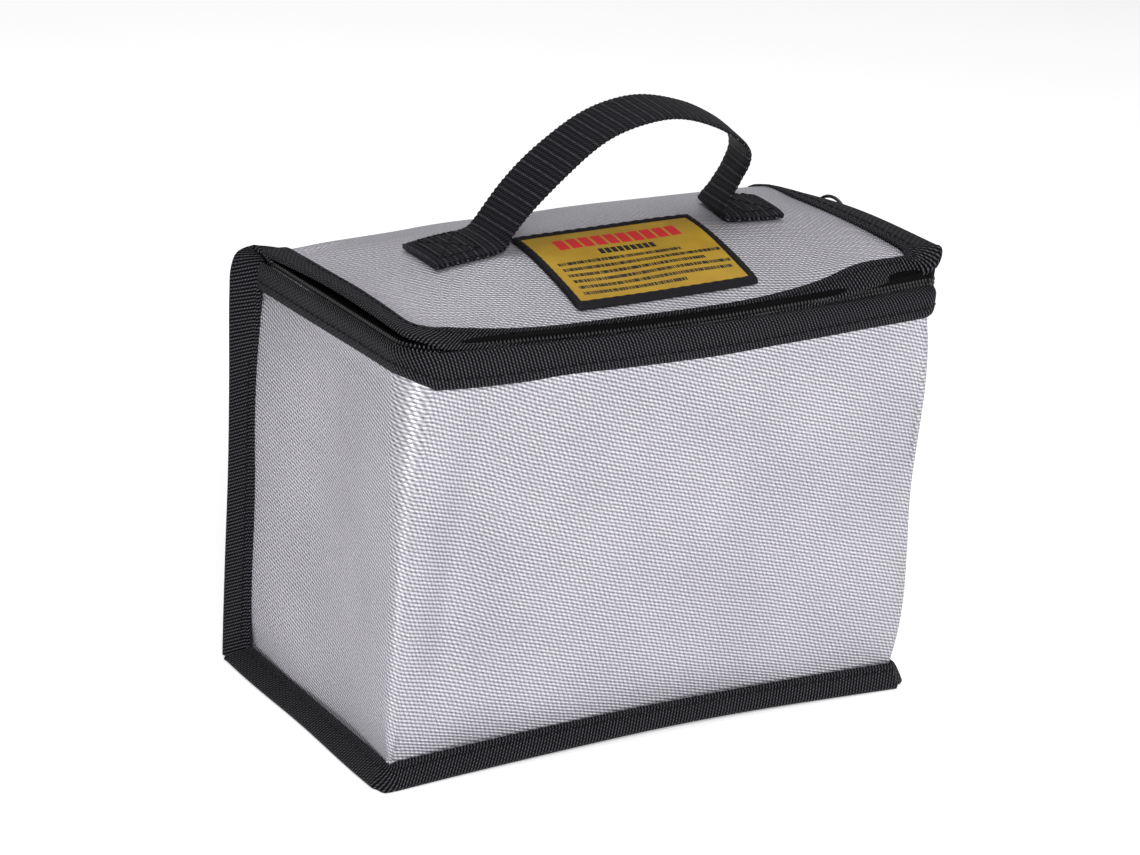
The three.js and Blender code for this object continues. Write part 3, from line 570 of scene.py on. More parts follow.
def label_look(width, depth):
    """Woven satin label: upright ribs, drawn coarser than real ones, with their tops painted lighter as
    painted highlights and soft patches of painted sheen, under a row of red blocks, a row of black ones and
    lines of dashes."""
    look, tree, shader, thread = new_look("woven_label", "yellow_label")
    parts = put(tree, "ShaderNodeSeparateXYZ", {"Vector": thread}).outputs
    x, y = parts["X"], parts["Y"]
    ribs = wave(tree, wandering(tree, thread, 5.0, 0.2), 1 / 0.8, 0)
    sheen = put(tree, "ShaderNodeTexNoise", {"Vector": thread, "Scale": 0.06, "Detail": 2.0}).outputs["Fac"]
    # painted highlight on the ribs and painted sheen in soft patches, both in the colour
    tone_and_painted_light = calc(tree, "MULTIPLY_ADD", ribs, 0.45, calc(tree, "MULTIPLY", sheen, 0.6))
    colour = coloured(tree, tone_and_painted_light, "#6e5312", "#a8841f", "#c9a734")
    middle_x = width / 2
    red = inside_box(tree, x, y, (middle_x, depth - 7.8), (width * 0.37, 3.6))
    red = calc(tree, "MULTIPLY", red, blocks(tree, x, 5.1, 0.82))
    black = inside_box(tree, x, y, (middle_x, depth - 15.4), (width * 0.17, 1.7))
    black = calc(tree, "MULTIPLY", black, blocks(tree, x, 2.6, 0.78))
    for row, share in enumerate((0.36, 0.46, 0.40, 0.46, 0.45, 0.3)):
        line = inside_box(tree, x, y, (4 + width * share, depth - 20.4 - 3.7 * row), (width * share, 0.9))
        letters = put(tree, "ShaderNodeTexNoise", {"W": calc(tree, "ADD", x, 37.0 * row), "Scale": 2.3},
                      noise_dimensions="1D").outputs["Fac"]
        marks = calc(tree, "MULTIPLY", line, calc(tree, "GREATER_THAN", letters, 0.42))
        black = calc(tree, "MAXIMUM", black, marks)
    for mask, code in ((red, "#c41f26"), (black, "#17140f")):
        mixed = put(tree, "ShaderNodeMix", {0: mask, 6: colour, 7: linear(code)}, data_type="RGBA")
        colour = mixed.outputs[2]
    tree.links.new(colour, shader.inputs["Base Color"])
    shader.inputs["Roughness"].default_value = 0.45
    shader.inputs["Specular IOR Level"].default_value = 0.3
    raise_surface(tree, shader, ribs, 0.06)
    return look


def stage_look(code, glow):
    look = bpy.data.materials.new("studio_paper")
    look.use_nodes = True
    tree = look.node_tree
    grain = put(tree, "ShaderNodeTexNoise", {"Scale": 60.0}).outputs["Fac"]
    shader = tree.nodes["Principled BSDF"]
    tree.links.new(coloured(tree, grain, code, "#ffffff"), shader.inputs["Base Color"])
    shader.inputs["Roughness"].default_value = 0.9
    shader.inputs["Emission Color"].default_value = linear("#ffffff")
    shader.inputs["Emission Strength"].default_value = glow
    return look


SILVER = glass_cloth("silver_glass_cloth", "silver_cloth", "#66646b", "#a5a3ab", "#eae8ee", 0.45, 0.47, 0.3)
PALE = glass_cloth("pale_glass_lining", "lining_cloth", "#9d998f", "#cfcbc1", "#ebe8e0", 0.0, 0.75, 0.16)
TAPE = ribbed_tape("ribbed_polyester_tape", "black_tape", 1.3, "#010102", "#66646b", 0.8)
# A darker copy of the black tape for the upper zip tape: painted shade for the gap under the lid binding.
SHADED_ZIP_TAPE = ribbed_tape("zip_tape", "black_tape", 1.1, "#010101", "#060607", 0.2)
MERROW = thread_look("overlock_thread", "#030304", "#242227", 0.8)
SEWING = thread_look("sewing_thread", "#030304", "#1a191c")
WEBBING = webbing_look()
NYLON_WITH_PAINTED_SHADE = nylon_look()
ENAMEL = enamel_look()


# ---- walls, bottom and lining --------------------------------------------------------------------

def tuck(place, z):
    """How far the stretched cloth is drawn in near the bottom seam and under the rim tape. The creased
    front left corner stands out instead."""
    crease = math.exp(-((place % 8 - 1.5) / 0.6) ** 2)
    above = max(z - SEAM_Z, 0)
    drawn = -1.9 * math.exp(-above / 8) - 1.2 * math.exp(-abs(RIM_Z - 13 - z) / 5)
    ridge = 0.3 * math.exp(-above / 40) - 1.9 * math.exp(-above / 4)
    return drawn * (1 - crease) + crease * ridge


def slack(place, z):
    """The hollows and swells of a stuffed bag's walls, in millimetres outwards."""
    rise = (z - SEAM_Z) / (RIM_Z - SEAM_Z)
    belly = math.sin(math.pi * min(max(rise, 0), 1))
    part = place % 8
    swell = 0.0
    if 2 <= part <= 3:
        along = part - 2
        swell += 3.4 * belly * math.sin(math.pi * along)
        groove = along * 205 - 15 - 12 * max(rise, 0)
        depth = 6.0 * float(ease(rise, 0.0, 0.35)) * max(1 - rise, 0) ** 0.5
        swell -= depth * math.exp(-(groove / 12) ** 2)
        swell += 0.8 * belly * math.sin(along * 14 + rise * 5)
    if part < 1 or 4 < part < 5:
        along = part - int(part)
        swell -= 4.2 * belly * math.sin(math.pi * along) ** 2 * (1.25 - rise)
    if 6 <= part <= 7:
        swell += 1.2 * belly * math.sin(math.pi * (part - 6))
    return swell


def wall_grid(start, end, low, high, inwards, rows=64):
    """Points on the walls' outer face, or some way inside it."""
    columns = places(start, end)
    grid = np.empty((len(columns), rows, 3))
    for k, p in enumerate(columns):
        covered = 4 * (1 - float(ease(p, -0.05, 0.06)) + float(ease(p, 4.94, 5.05)))
        for j, z in enumerate(np.linspace(low, high - covered, rows)):
            grid[k, j] = off_wall(p, tuck(p, z) + slack(p, z) - inwards, z)
    normals = grid_normals(grid)
    return grid + normals * ripple(grid, 42, 1.3, 1)[..., None]


def make_walls():
    grid = wall_grid(-0.5, 5.5, SEAM_Z - 3.2, RIM_Z - 0.4, 0)
    piece = cloth_piece("wrap_cloth", grid, SILVER, "bag", 0.8, replaces=["wrap_panel"])
    inner = wall_grid(-0.5, 5.5, SEAM_Z + 0.8, RIM_Z - 2.2, 1.3, rows=40)
    lining = cloth_piece("wrap_lining_cloth", inner, PALE, "bag", 0.5, replaces=["wrap_lining"])


def bottom_grid(lift):
    """The bottom: flat on the ground in its middle and turned up to its seam."""
    half_x = HALF_WIDTH - 3.0
    grid = np.empty((80, 48, 3))
    for i, across in enumerate(np.linspace(-1, 1, 80)):
        x = -across * half_x
        past = max(abs(x) - half_x + 2, 0)
        cut = 2 - math.sqrt(max(4 - past**2, 0))
        front = wall(2.5 + x / (2 * HALF_WIDTH - 11), SEAM_Z)[1] + 3.1 + cut
        for j, along in enumerate(np.linspace(-1, 1, 48)):
            y = front + (HALF_DEPTH - 3.1 - cut - front) * (along + 1) / 2
            edge = min((1 - abs(across)) * half_x, (1 - abs(along)) * (HALF_DEPTH - 2.4))
            grid[i, j] = (x, y, 0.2 + lift + 5.0 * (1 - float(ease(edge, 0, 14))))
    return grid


def make_bottom():
    grid = bottom_grid(0)
    panel = cloth_piece("bottom_cloth", grid, SILVER, "bag", 0.8, replaces=["bottom_panel"])
    lining = cloth_piece("bottom_lining_cloth", bottom_grid(3.0), PALE, "bag", 0.5,
                         replaces=["bottom_lining"])


BACK_HALF = 106.6
LID_HALF = 99.0


def top_column(x, back_x, rows_back, rows_fold, rows_lid, drop):
    """One line of the cloth that runs up the back, over the fold and forward to the lid's front."""
    lid_x = x * LID_HALF / BACK_HALF
    heights = np.linspace(SEAM_Z - 0.4, 146, rows_back)
    place = 6.5 - x / (2 * BACK_HALF)
    back = [(x, HALF_DEPTH + tuck(place, z) + slack(place, z) - drop, z) for z in heights]
    side = float(crown(lid_x, 52.0)) - 157.8
    fold = [(146, 57.5), (151.2, 57.2), (155.6 + side * 0.3, 55.6), (float(crown(lid_x, 50.0)), 50.0),
            (float(crown(lid_x, 42.0)), 42.0)]
    curve = path_through([(y, z) for z, y in fold], rows_fold)
    slope = unit(np.gradient(curve, axis=0))
    curve = curve - np.stack([slope[:, 1], -slope[:, 0]], axis=1) * drop
    turn = np.linspace(x, lid_x, rows_fold)
    folded = [(turn[k], curve[k, 0], curve[k, 1]) for k in range(1, rows_fold)]
    corner = 12.0 if lid_x < 0 else 4.0
    past = max(abs(lid_x) - LID_HALF + corner, 0)
    front = float(lid_edge(lid_x)) - 2 + corner - math.sqrt(max(corner**2 - past**2, 0))
    ys = np.linspace(42.0, front, rows_lid)[1:]
    zs = lid_top(np.full(len(ys), lid_x), ys) - drop
    return back + folded + [(lid_x, y, z) for y, z in zip(ys, zs)]


def make_top_and_back():
    """One length of cloth is the back and the lid, and bends along the fold between them."""
    for name, look, drop, thickness, nodes in (
        ("top_and_back_cloth", SILVER, 0.0, 0.8, ["lid_panel", "back_panel"]),
        ("top_and_back_lining", PALE, 1.4, 0.5, ["lid_lining", "back_lining"]),
    ):
        xs = np.linspace(BACK_HALF, -BACK_HALF, 110)
        grid = np.array([top_column(x, x, 40, 16, 60, drop) for x in xs])
        grid = grid + grid_normals(grid) * ripple(grid, 34, 0.8, 2)[..., None]
        piece = cloth_piece(name, grid, look, "bag", thickness, replaces=nodes, ride=False)
        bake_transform(piece)


make_walls()
make_bottom()
make_top_and_back()


# ---- bindings ------------------------------------------------------------------------------------

def tape_section(near, far, out, thickness, rounds=4):
    """The closed section of a folded tape between two edges, with rounded edges and a slight puff."""
    near, far, out = (np.asarray(v, float) for v in (near, far, out))
    run = far - near
    half = thickness / 2
    ring = []
    for t in (0.12, 0.35, 0.65, 0.9):
        ring.append(near + run * t + out * half * (1 + 0.25 * math.sin(math.pi * t)))
    for k in range(rounds):
        angle = math.pi * (k + 0.5) / rounds
        ring.append(far + unit(run) * half * (math.sin(angle) - 1) + out * half * math.cos(angle))
    for t in (0.9, 0.65, 0.35, 0.12):
        ring.append(near + run * t - out * half * (1 + 0.25 * math.sin(math.pi * t)))
    for k in range(2):
        angle = math.pi * (k + 0.5) / 2
        ring.append(near - unit(run) * half * (math.sin(angle) - 1) * 0.5 - out * half * math.cos(angle))
    return ring


FOOT_PLACE = (0, 0.8, 1.3, 1.5, 1.7, 2.1, 2.5, 2.9, 3.5, 5, 8)
FOOT_TOP = (8.0, 8.0, 7.8, 7.7, 7.9, 8.5, 9.2, 9.0, 8.6, 8.6, 8.2)


def skirt(place, out, radius):
    """A point on the bottom binding's plan, some way out from the walls' foot."""
    x, y = outline(place, HALF_WIDTH + out, HALF_DEPTH + out, radius, radius, max(radius * 0.6, 2.0))
    middle = float(ease(-y, HALF_DEPTH - 6, HALF_DEPTH)) * (1 - (x / (HALF_WIDTH + out)) ** 2)
    return np.array((x, y + 3.8 * middle))


def bottom_fin(place):
    """Where the bottom binding starts on the wall, and where its folded edge stands near the ground."""
    lift = 1.7 * math.sin(math.pi * (place % 8 - 2)) if 2 < place % 8 < 3 else 0.0
    swing = 0.35 * math.sin(place * 9.0)
    top = np.append(skirt(place, -1.5, 1.8), float(smooth(FOOT_PLACE, FOOT_TOP, place % 8)))
    snug = 2.6 * math.exp(-((place % 8 - 3.5) / 0.7) ** 2)
    foot = np.append(skirt(place, 4.9 + swing - snug, 6.2), 0.1 + lift)
    return top, foot


def fin_square(place, top, foot):
    """The direction that the bottom binding's visible face looks in."""
    after, before = skirt(place + 0.02, 0, 1.6), skirt(place - 0.02, 0, 1.6)
    square = unit(np.cross(foot - top, np.append(after - before, 0)))
    return square * np.sign(square[:2] @ (foot - top)[:2])


def make_bottom_binding():
    rings = []
    for place in places(0, 8)[:-1]:
        top, foot = bottom_fin(place)
        rings.append(tape_section(top, foot, fin_square(place, top, foot), 1.9))
    sweep_piece("bottom_binding_tape", rings, TAPE, "bag", loop=True, replaces=["bottom_binding"])


# The back corner tape from the ground up and over onto the lid: X and Y of its inner edge, X and Y of its
# folded edge, and both edges' heights.
CORNER_TAPE = (
    (106.2, 50.6, 112.2, 62.4, 1.8, 1.6), (106.4, 50.8, 112.3, 62.4, 12, 12),
    (106.6, 50.2, 112.6, 61.8, 40, 40), (106.8, 50.0, 112.2, 62.2, 75, 75),
    (106.8, 50.0, 113.0, 61.9, 110, 110), (106.8, 50.2, 113.6, 62.4, 138, 140),
    (106.4, 50.8, 113.2, 62.6, 148.6, 150.6), (104.6, 52.4, 111.6, 61.8, 153.6, 155.8),
    (101.0, 52.4, 109.6, 58.0, 156.6, 158.6), (98.2, 49.8, 107.6, 52.6, 158.0, 158.8),
    (97.2, 43.0, 107.4, 44.0, 156.8, 156.4),
)


def corner_path(side, count=90):
    """The two edges of a back corner tape, point by point."""
    rows = path_through([(a, b, (e + f) / 2, c, d, f) for a, b, c, d, e, f in CORNER_TAPE], count)
    near = np.stack([side * rows[:, 0], rows[:, 1], 2 * rows[:, 2] - rows[:, 5]], axis=1)
    far = np.stack([side * rows[:, 3], rows[:, 4], rows[:, 5]], axis=1)
    rise = (1 + side) / 2 * 4.2 * ease(-rows[:, 1] - rows[:, 4], -118, -100)
    near[:, 2] += rise
    far[:, 2] += rise
    square = unit(np.cross(np.gradient(near + far, axis=0), far - near))
    square *= np.sign(square @ np.array((side, -0.2, 0.3)))[:, None]
    return near, far, square


def make_corner_bindings():
    """Each back corner's tape runs from the ground up its seam and on over the hinge fold to the lid."""
    for side, name in ((-1, "back_left_binding"), (1, "back_right_binding")):
        near, far, square = corner_path(side)
        rings = [tape_section(n, f, q, 2.3) for n, f, q in zip(near, far, square)]
        piece = sweep_piece(name + "_tape", rings, TAPE, "bag", replaces=[name], ride=False)
        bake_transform(piece)
        rings = []
        for n, f in zip(near[2:], far[2:]):
            if f[2] > 147:
                break
            root = np.array((side * (100.6 + 4 * float(ease(f[2], 136, 147))), HALF_DEPTH + 0.5, n[2]))
            rings.append(tape_section(root, f - np.array((side * 1.0, 0.4, 0)), (side * -0.4, 0.9, 0), 1.8))
        sweep_piece(name + "_back_leg", rings, TAPE, "bag")


make_bottom_binding()
make_corner_bindings()


# ---- zip -----------------------------------------------------------------------------------------

ZIP_PLACE = (0, 2, 2.4, 2.75, 3, 3.3, 4, 5)
TEETH_OUT = (-2.6, -2.6, -2.6, -2.6, -2.5, -1.4, -0.65, -0.65)
TEETH_LOW = (153.3, 153.3, 153.3, 154.5, 155.4, 155.4, 155.4, 155.4)
FAR_OUT = (-8.6, -8.6, -8.6, -8.6, -7.4, -5.0, -3.6, -3.6)
FAR_Z = (156.1, 156.4, 156.4, 157.9, 161.4, 163.6, 164.4, 160.6)
COIL_HALF = 1.3 + 0.9 / 2
FIN_PLACE = (0, 0.5, 1, 1.5, 2, 2.5, 2.8, 3, 3.5, 4, 4.5, 5)
FIN_TIP_X = (107.5, 105.8, 105.8, 106.6, 107.5, 107.5, 108, 108.5, 109.8, 110, 110, 108.5)
FIN_TIP_Z = (158.4, 160.4, 159.8, 158.5, 157.6, 157.6, 159.4, 163.5, 167.4, 168.4, 168, 162.8)


def zip_middle(place):
    """The line between the two rows of teeth."""
    out = float(smooth(ZIP_PLACE, TEETH_OUT, place)) + 0.65
    z = float(smooth(ZIP_PLACE, TEETH_LOW, place)) + COIL_HALF
    return at_mouth(place, out, z)


RIM_TAPE_PLACE = (0, 1.6, 1.9, 2.05, 2.3, 2.6, 2.85, 3, 5)
RIM_TAPE_DROP = (10.0, 10.2, 12.0, 13.2, 12.2, 12.0, 10.6, 10.4, 10.4)


def make_rim_tape():
    """The lower zip tape: flat on the wall below the rim, rolled over the rim into the teeth."""
    rings = []
    for place in places(0.02, 4.98):
        teeth = zip_middle(place)
        over = at_mouth(place, 0.1, RIM_Z - 0.2)
        low = RIM_Z - float(smooth(RIM_TAPE_PLACE, RIM_TAPE_DROP, place))
        line = np.array([off_wall(place, -0.4, low), off_wall(place, 0.6, low + 1),
                         off_wall(place, 1.0, low + 5), off_wall(place, 1.0, RIM_Z - 1.8), over,
                         teeth - np.array((0, 0, COIL_HALF - 0.2))])
        line = path_through(line, 12)
        slope = unit(np.gradient(line, axis=0))
        away = unit(wall(place, RIM_Z) - off_wall(place, -5, RIM_Z))
        square = unit(np.cross(slope, np.cross(away, (0, 0, 1.0))))
        square *= np.sign(square[0] @ away)
        thick = np.linspace(0.5, 0.4, 12)[:, None]
        rings.append(np.concatenate([line + square * thick, (line - square * thick)[::-1]]))
    sweep_piece("zip_tape_lower", rings, TAPE, "bag", replaces=["zipper_tape_lower"])


def make_upper_tape():
    rings = []
    for place in places(0.02, 4.98):
        near = zip_middle(place) + np.array((0, 0, COIL_HALF - 0.4))
        far_out, far_z = (float(smooth(ZIP_PLACE, values, place)) for values in (FAR_OUT, FAR_Z))
        far = at_mouth(place, far_out, far_z + 0.6)
        bend = near + (far - near) * np.array((0.08, 0.08, 0.8))
        line = path_through([near, bend, far], 9)
        slope = unit(np.gradient(line, axis=0))
        along = wall(place + 0.02, RIM_Z) - wall(place - 0.02, RIM_Z)
        square = unit(np.cross(slope, along)) * 0.4
        rings.append(np.concatenate([line + square, (line - square)[::-1]]))
    sweep_piece("zip_tape_upper", rings, SHADED_ZIP_TAPE, "lid", replaces=["zipper_tape_upper"])


def capsule(start, end, out, radius, sides=6, lift=0.0):
    """A short rounded rod from start to end, its middle lifted towards out."""
    start, end, out = (np.asarray(v, float) for v in (start, end, out))
    run = unit(end - start)
    side = unit(np.cross(run, out))
    rings = []
    for t, share in ((0.0, 0.35), (0.12, 0.85), (0.5, 1.0), (0.88, 0.85), (1.0, 0.35)):
        centre = start + (end - start) * t + out * lift * math.sin(math.pi * t)
        angles = [TAU * k / sides for k in range(sides)]
        rings.append([centre + (side * math.cos(a) + out * math.sin(a)) * radius * share for a in angles])
    return rings


def make_teeth():
    """Two rows of coil turns that interlock along the middle line."""
    line = np.array([zip_middle(p) for p in places(0.03, 4.97, straight=1.2, corner=22)])
    length = lengths_along(line)
    pitch = 1.45
    for name, body, upward, start in (("zip_teeth_lower", "bag", -1, 0.0),
                                      ("zip_teeth_upper", "lid", 1, pitch / 2)):
        turns = []
        for s in np.arange(start + 0.5, length[-1], pitch):
            here = np.array([np.interp(s, length, line[:, k]) for k in range(3)])
            ahead = np.array([np.interp(s + 0.5, length, line[:, k]) for k in range(3)])
            away = unit(np.cross(ahead - here, (0, 0, 1.0)))
            root = here + np.array((0, 0, upward * COIL_HALF))
            tip = here - np.array((0, 0, upward * 0.25))
            turns.append(capsule(root, tip, away, 0.5, lift=0.35))
            turns.append(capsule(root, tip, -away, 0.5, lift=0.35))
        many_piece(name, turns, NYLON_WITH_PAINTED_SHADE, body, replaces=["zipper" + name[3:]])


make_rim_tape()
make_upper_tape()
make_teeth()


# ---- lid binding ---------------------------------------------------------------------------------

def lid_fin(place):
    """The lid binding's edge on the lid and its free folded edge. The front right corner is pinched up."""
    inner_x, inner_y = outline(place, 97.0, 47.0, 12.0, 3.0, 0.01, 50.5)
    reach = float(smooth(FIN_PLACE, FIN_TIP_X, place))
    tip_x, tip_y = outline(place, reach, HALF_DEPTH - 0.4, 13.0, 7.0, 0.01, 50.5)
    front = float(ease(place, 1.6, 2.0) * (1 - ease(place, 3.2, 3.7)))
    droop = float(smooth(NOSE_X, NOSE, inner_x)) * front
    inner_y -= 4.2 * droop
    inner_x += 2.2 * float(ease(place, 2.7, 3.1) * (1 - ease(place, 4.0, 4.8)))
    pinch = math.exp(-((place - 3.45) / 0.25) ** 2)
    notch = math.exp(-((place - 2.965) / 0.05) ** 2)
    near = np.array((inner_x, inner_y, float(lid_top(inner_x, inner_y)) + 0.5))
    far_z = float(smooth(FIN_PLACE, FIN_TIP_Z, place)) - 2.8 * max(droop, 0) - 1.9 * front + 1.8 * pinch
    far_y = tip_y - 0.6 * droop - 1.2 * front + 4.0 * notch
    far = np.array((tip_x + 1.6 * pinch, far_y, far_z - 1.8 * notch))
    wobble = 0.5 * math.sin(place * 11.0) * front
    far[2] += wobble
    near[2] += 0.4 * wobble
    return near, far


def make_lid_binding():
    rings = []
    for place in places(0.0, 4.999):
        near, far = lid_fin(place)
        along = wall(place + 0.02, RIM_Z) - wall(place - 0.02, RIM_Z)
        square = unit(np.cross(far - near, along))
        square *= np.sign(square[2])
        rings.append(tape_section(near, far, square, 1.9))
    sweep_piece("lid_binding_tape", rings, TAPE, "lid", replaces=["lid_binding"])


make_lid_binding()


# ---- stitching -----------------------------------------------------------------------------------

def stitches(line, outs, length=3.0, gap=0.9, radius=0.28):
    """Lock stitches along a line of points, each one dipping into the cloth at both ends."""
    line, outs = np.asarray(line, float), np.asarray(outs, float)
    total = lengths_along(line)
    rods = []
    for s in np.arange(0.5, total[-1] - length, length + gap):
        start, end = (np.array([np.interp(q, total, line[:, k]) for k in range(3)]) for q in (s, s + length))
        out = unit(np.array([np.interp(s + length / 2, total, outs[:, k]) for k in range(3)]))
        rods.append(capsule(start, end, out, radius, lift=0.16))
    return rods


def make_seams():
    rim, rim_out, foot, foot_out, lid, lid_out = ([] for _ in range(6))
    for place in places(0.03, 4.97):
        away = off_wall(place, 1, RIM_Z) - off_wall(place, 0, RIM_Z)
        low = RIM_Z - float(smooth(RIM_TAPE_PLACE, RIM_TAPE_DROP, place))
        rim.append(off_wall(place, 1.5, low + 3.6))
        rim_out.append(away)
        near, far = lid_fin(place)
        along = wall(place + 0.02, RIM_Z) - wall(place - 0.02, RIM_Z)
        square = unit(np.cross(far - near, along))
        square *= np.sign(square[2])
        if 0.2 < place < 4.8:
            lid.append(near + (far - near) * 0.3 + square * 1.15)
            lid_out.append(square)
    for place in places(0, 8):
        top, low = bottom_fin(place)
        square = fin_square(place, top, low)
        foot.append(top + (low - top) * 0.3 + square * 1.1)
        foot_out.append(square)
    many_piece("rim_stitches", stitches(rim, rim_out), SEWING, "bag", replaces=["rim_thread"])
    many_piece("bottom_stitches", stitches(foot, foot_out), SEWING, "bag", replaces=["bottom_thread"])
    many_piece("lid_stitches", stitches(lid, lid_out), SEWING, "lid", replaces=["lid_thread"])
    for side, name in ((-1, "back_left"), (1, "back_right")):
        near, far, square = corner_path(side)
        line = (near + (far - near) * 0.3 + square * 1.35)[4:62]
        many_piece(name + "_stitches", stitches(line, square[4:62]), SEWING, "bag",
                   replaces=[name + "_thread"])


make_seams()


# ---- label ---------------------------------------------------------------------------------------

BORDER_LOW, BORDER_HIGH = box_mm("label_border")


def on_lid(x, y, lift):
    return np.array((x, y, float(lid_top(x, y)) + lift))


def make_label():
    inset = 2.2
    xs = np.linspace(BORDER_LOW.x + inset, BORDER_HIGH.x - inset, 50)
    ys = np.linspace(BORDER_LOW.y + inset, BORDER_HIGH.y - inset, 34)
    grid = np.empty((len(xs), len(ys), 3))
    for i, x in enumerate(xs):
        for j, y in enumerate(ys):
            grid[i, j] = on_lid(x, y, 1.35 + 0.25 * math.sin(x / 9) * math.sin(y / 7))
    width, depth = xs[-1] - xs[0], ys[-1] - ys[0]
    look = label_look(width, depth)
    patch = cloth_piece("label_cloth", grid, look, "lid", 0.6, replaces=["label_patch"])
    corners = [(BORDER_LOW.x, BORDER_LOW.y), (BORDER_HIGH.x, BORDER_LOW.y),
               (BORDER_HIGH.x, BORDER_HIGH.y), (BORDER_LOW.x, BORDER_HIGH.y)]
    half_x, half_y = (BORDER_HIGH.x - BORDER_LOW.x) / 2, (BORDER_HIGH.y - BORDER_LOW.y) / 2
    mid_x, mid_y = (BORDER_HIGH.x + BORDER_LOW.x) / 2, (BORDER_HIGH.y + BORDER_LOW.y) / 2
    rings = []
    for place in places(0, 8, straight=0.7 * 190 / 74, corner=8)[:-1]:
        outer = outline(place, half_x, half_y, 1.6, 1.6, 1.6)
        inner = outline(place, half_x - 3.1, half_y - 3.1, 0.3, 0.3, 0.3)
        twist = 0.12 * math.sin(place * 95)
        ring = []
        for k in range(10):
            angle = math.pi * k / 9
            t = 0.5 - 0.5 * math.cos(angle)
            x = mid_x + outer[0] + (inner[0] - outer[0]) * t
            y = mid_y + outer[1] + (inner[1] - outer[1]) * t
            ring.append(on_lid(x, y, 0.7 + (1.35 + twist) * math.sin(angle)))
        rings.append(ring)
    sweep_piece("label_overlock", rings, MERROW, "lid", loop=True, replaces=["label_border"])


make_label()


# ---- handle --------------------------------------------------------------------------------------

STRAP_HALF = 12.5
# Middle line of the strap as X, Z, its lean and its turn in degrees. Where it leans, its front edge lies
# lower; where it turns, its back edge swings to the right. Without a height it lies on the lid.
STRAP = (
    (-69.8, None, 0, 0), (-62, None, 0, 0), (-54, None, 0, 0), (-47.5, None, 0, 0), (-43.6, 170.8, 1, 0),
    (-39.6, 176.0, 2, 0), (-32.0, 184.8, 3, 0), (-19.5, 196.0, 4, 0), (-4, 206.4, 4, 0), (9, 210.9, 4, 0),
    (24, 212.3, 5, 2), (42, 208.0, 6, 6), (54.5, 201.5, 4, 12), (59.4, 197.0, 2, 15), (60.2, 192.4, 0, 17),
    (57.2, 185.6, -3, 17), (53.0, 179.0, -4, 15), (50.2, 174.6, -2, 12), (50.4, 173.0, 0, 9),
    (53.5, None, 0, 6), (58, None, 0, 4), (66, None, 0, 3), (74.2, None, 0, 3),
)


def strap_line(count=360):
    """The strap's middle line in X and Z, with its lean and turn at each point."""
    points = [(x, z if z is not None else float(crown(x, HANDLE_Y)) + 1.5) for x, z, *_ in STRAP]
    angles = np.array([row[2:] for row in STRAP], float)
    line = path_through(points, count)
    at = np.array([np.argmin(np.linalg.norm(line - p, axis=1)) for p in np.array(points)])
    at = np.maximum.accumulate(at)
    return line, np.interp(range(count), at, angles[:, 0]), np.interp(range(count), at, angles[:, 1])


def make_handle():
    """One length of webbing. Its ends are folded under and sewn to the lid, and its arch leans."""
    line, leans, turns = strap_line()
    slope = unit(np.gradient(line, axis=0))
    rings = []
    for (x, z), (dx, dz), lean, turn, s in zip(line, slope, leans, turns, lengths_along(line)):
        sewn = 1 - float(ease(z, 171.5, 175))
        tilt, yaw = math.radians(lean), math.radians(turn)
        ahead = np.array((dx, 0, dz))
        side = np.array((math.sin(yaw), math.cos(yaw) * math.cos(tilt), math.sin(tilt)))
        flat = np.array((-dz, 0, dx))
        up = unit(flat - side * (flat @ side))
        width = STRAP_HALF + 0.3 * math.sin(s * TAU / 2.0) + 0.3 * math.sin(s / 7)
        thick = 0.85 + 0.55 * sewn
        profile = [(k / 4 - 1, 1) for k in range(9)] + [(1 - k / 4, -1) for k in range(9)]
        ring = []
        for across, face in profile:
            height = face * thick * (1 - 0.5 * abs(across) ** 6)
            point = np.array((x, HANDLE_Y, z)) + side * across * width + up * height
            flat_lid = float(crown(point[0], HANDLE_Y + across * width)) - float(crown(x, HANDLE_Y))
            point[2] += sewn * (flat_lid + 0.4)
            ring.append(point)
        rings.append(ring)
    piece = sweep_piece("carry_handle_webbing", rings, WEBBING, "lid", ride=False,
                        replaces=["handle_strap", "handle_end_left", "handle_end_right"])
    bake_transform(piece)


def make_stitch_box(name, node):
    """A box of lock stitches with a cross inside it."""
    low, high = box_mm(node)
    corners = [(low.x, low.y), (high.x, low.y), (high.x, high.y), (low.x, high.y)]
    runs = [(corners[k], corners[(k + 1) % 4]) for k in range(4)]
    runs += [(corners[0], corners[2]), (corners[1], corners[3])]
    rods = []
    for (ax, ay), (bx, by) in runs:
        line = [on_lid(ax + (bx - ax) * t, ay + (by - ay) * t, 3.35) for t in np.linspace(0, 1, 12)]
        rods += stitches(line, [(0, 0, 1.0)] * 12, length=2.2, gap=0.8, radius=0.22)
    many_piece(name, rods, SEWING, "lid", replaces=[node])


make_handle()
make_stitch_box("handle_stitches_left", "handle_stitch_left")
make_stitch_box("handle_stitches_right", "handle_stitch_right")


# ---- slider and pull -----------------------------------------------------------------------------

def rounded_plate(name, low, high, radius, look, body, **options):
    """A plate with rounded ends, seen along X, and softened edges."""
    (x0, y0, z0), (x1, y1, z1) = low, high
    mid_y, mid_z = (y0 + y1) / 2, (z0 + z1) / 2
    rings = []
    for x, shrink in ((x0, 0.25), (x0 + 0.2, 0.0), (x1 - 0.2, 0.0), (x1, 0.25)):
        ring = []
        for p in np.arange(0, 8, 0.25):
            y, z = outline(p, (y1 - y0) / 2 - shrink, (z1 - z0) / 2 - shrink, radius, radius, radius)
            ring.append((x, mid_y + y, mid_z + z))
        rings.append(ring)
    return sweep_piece(name, rings, look, body, **options)


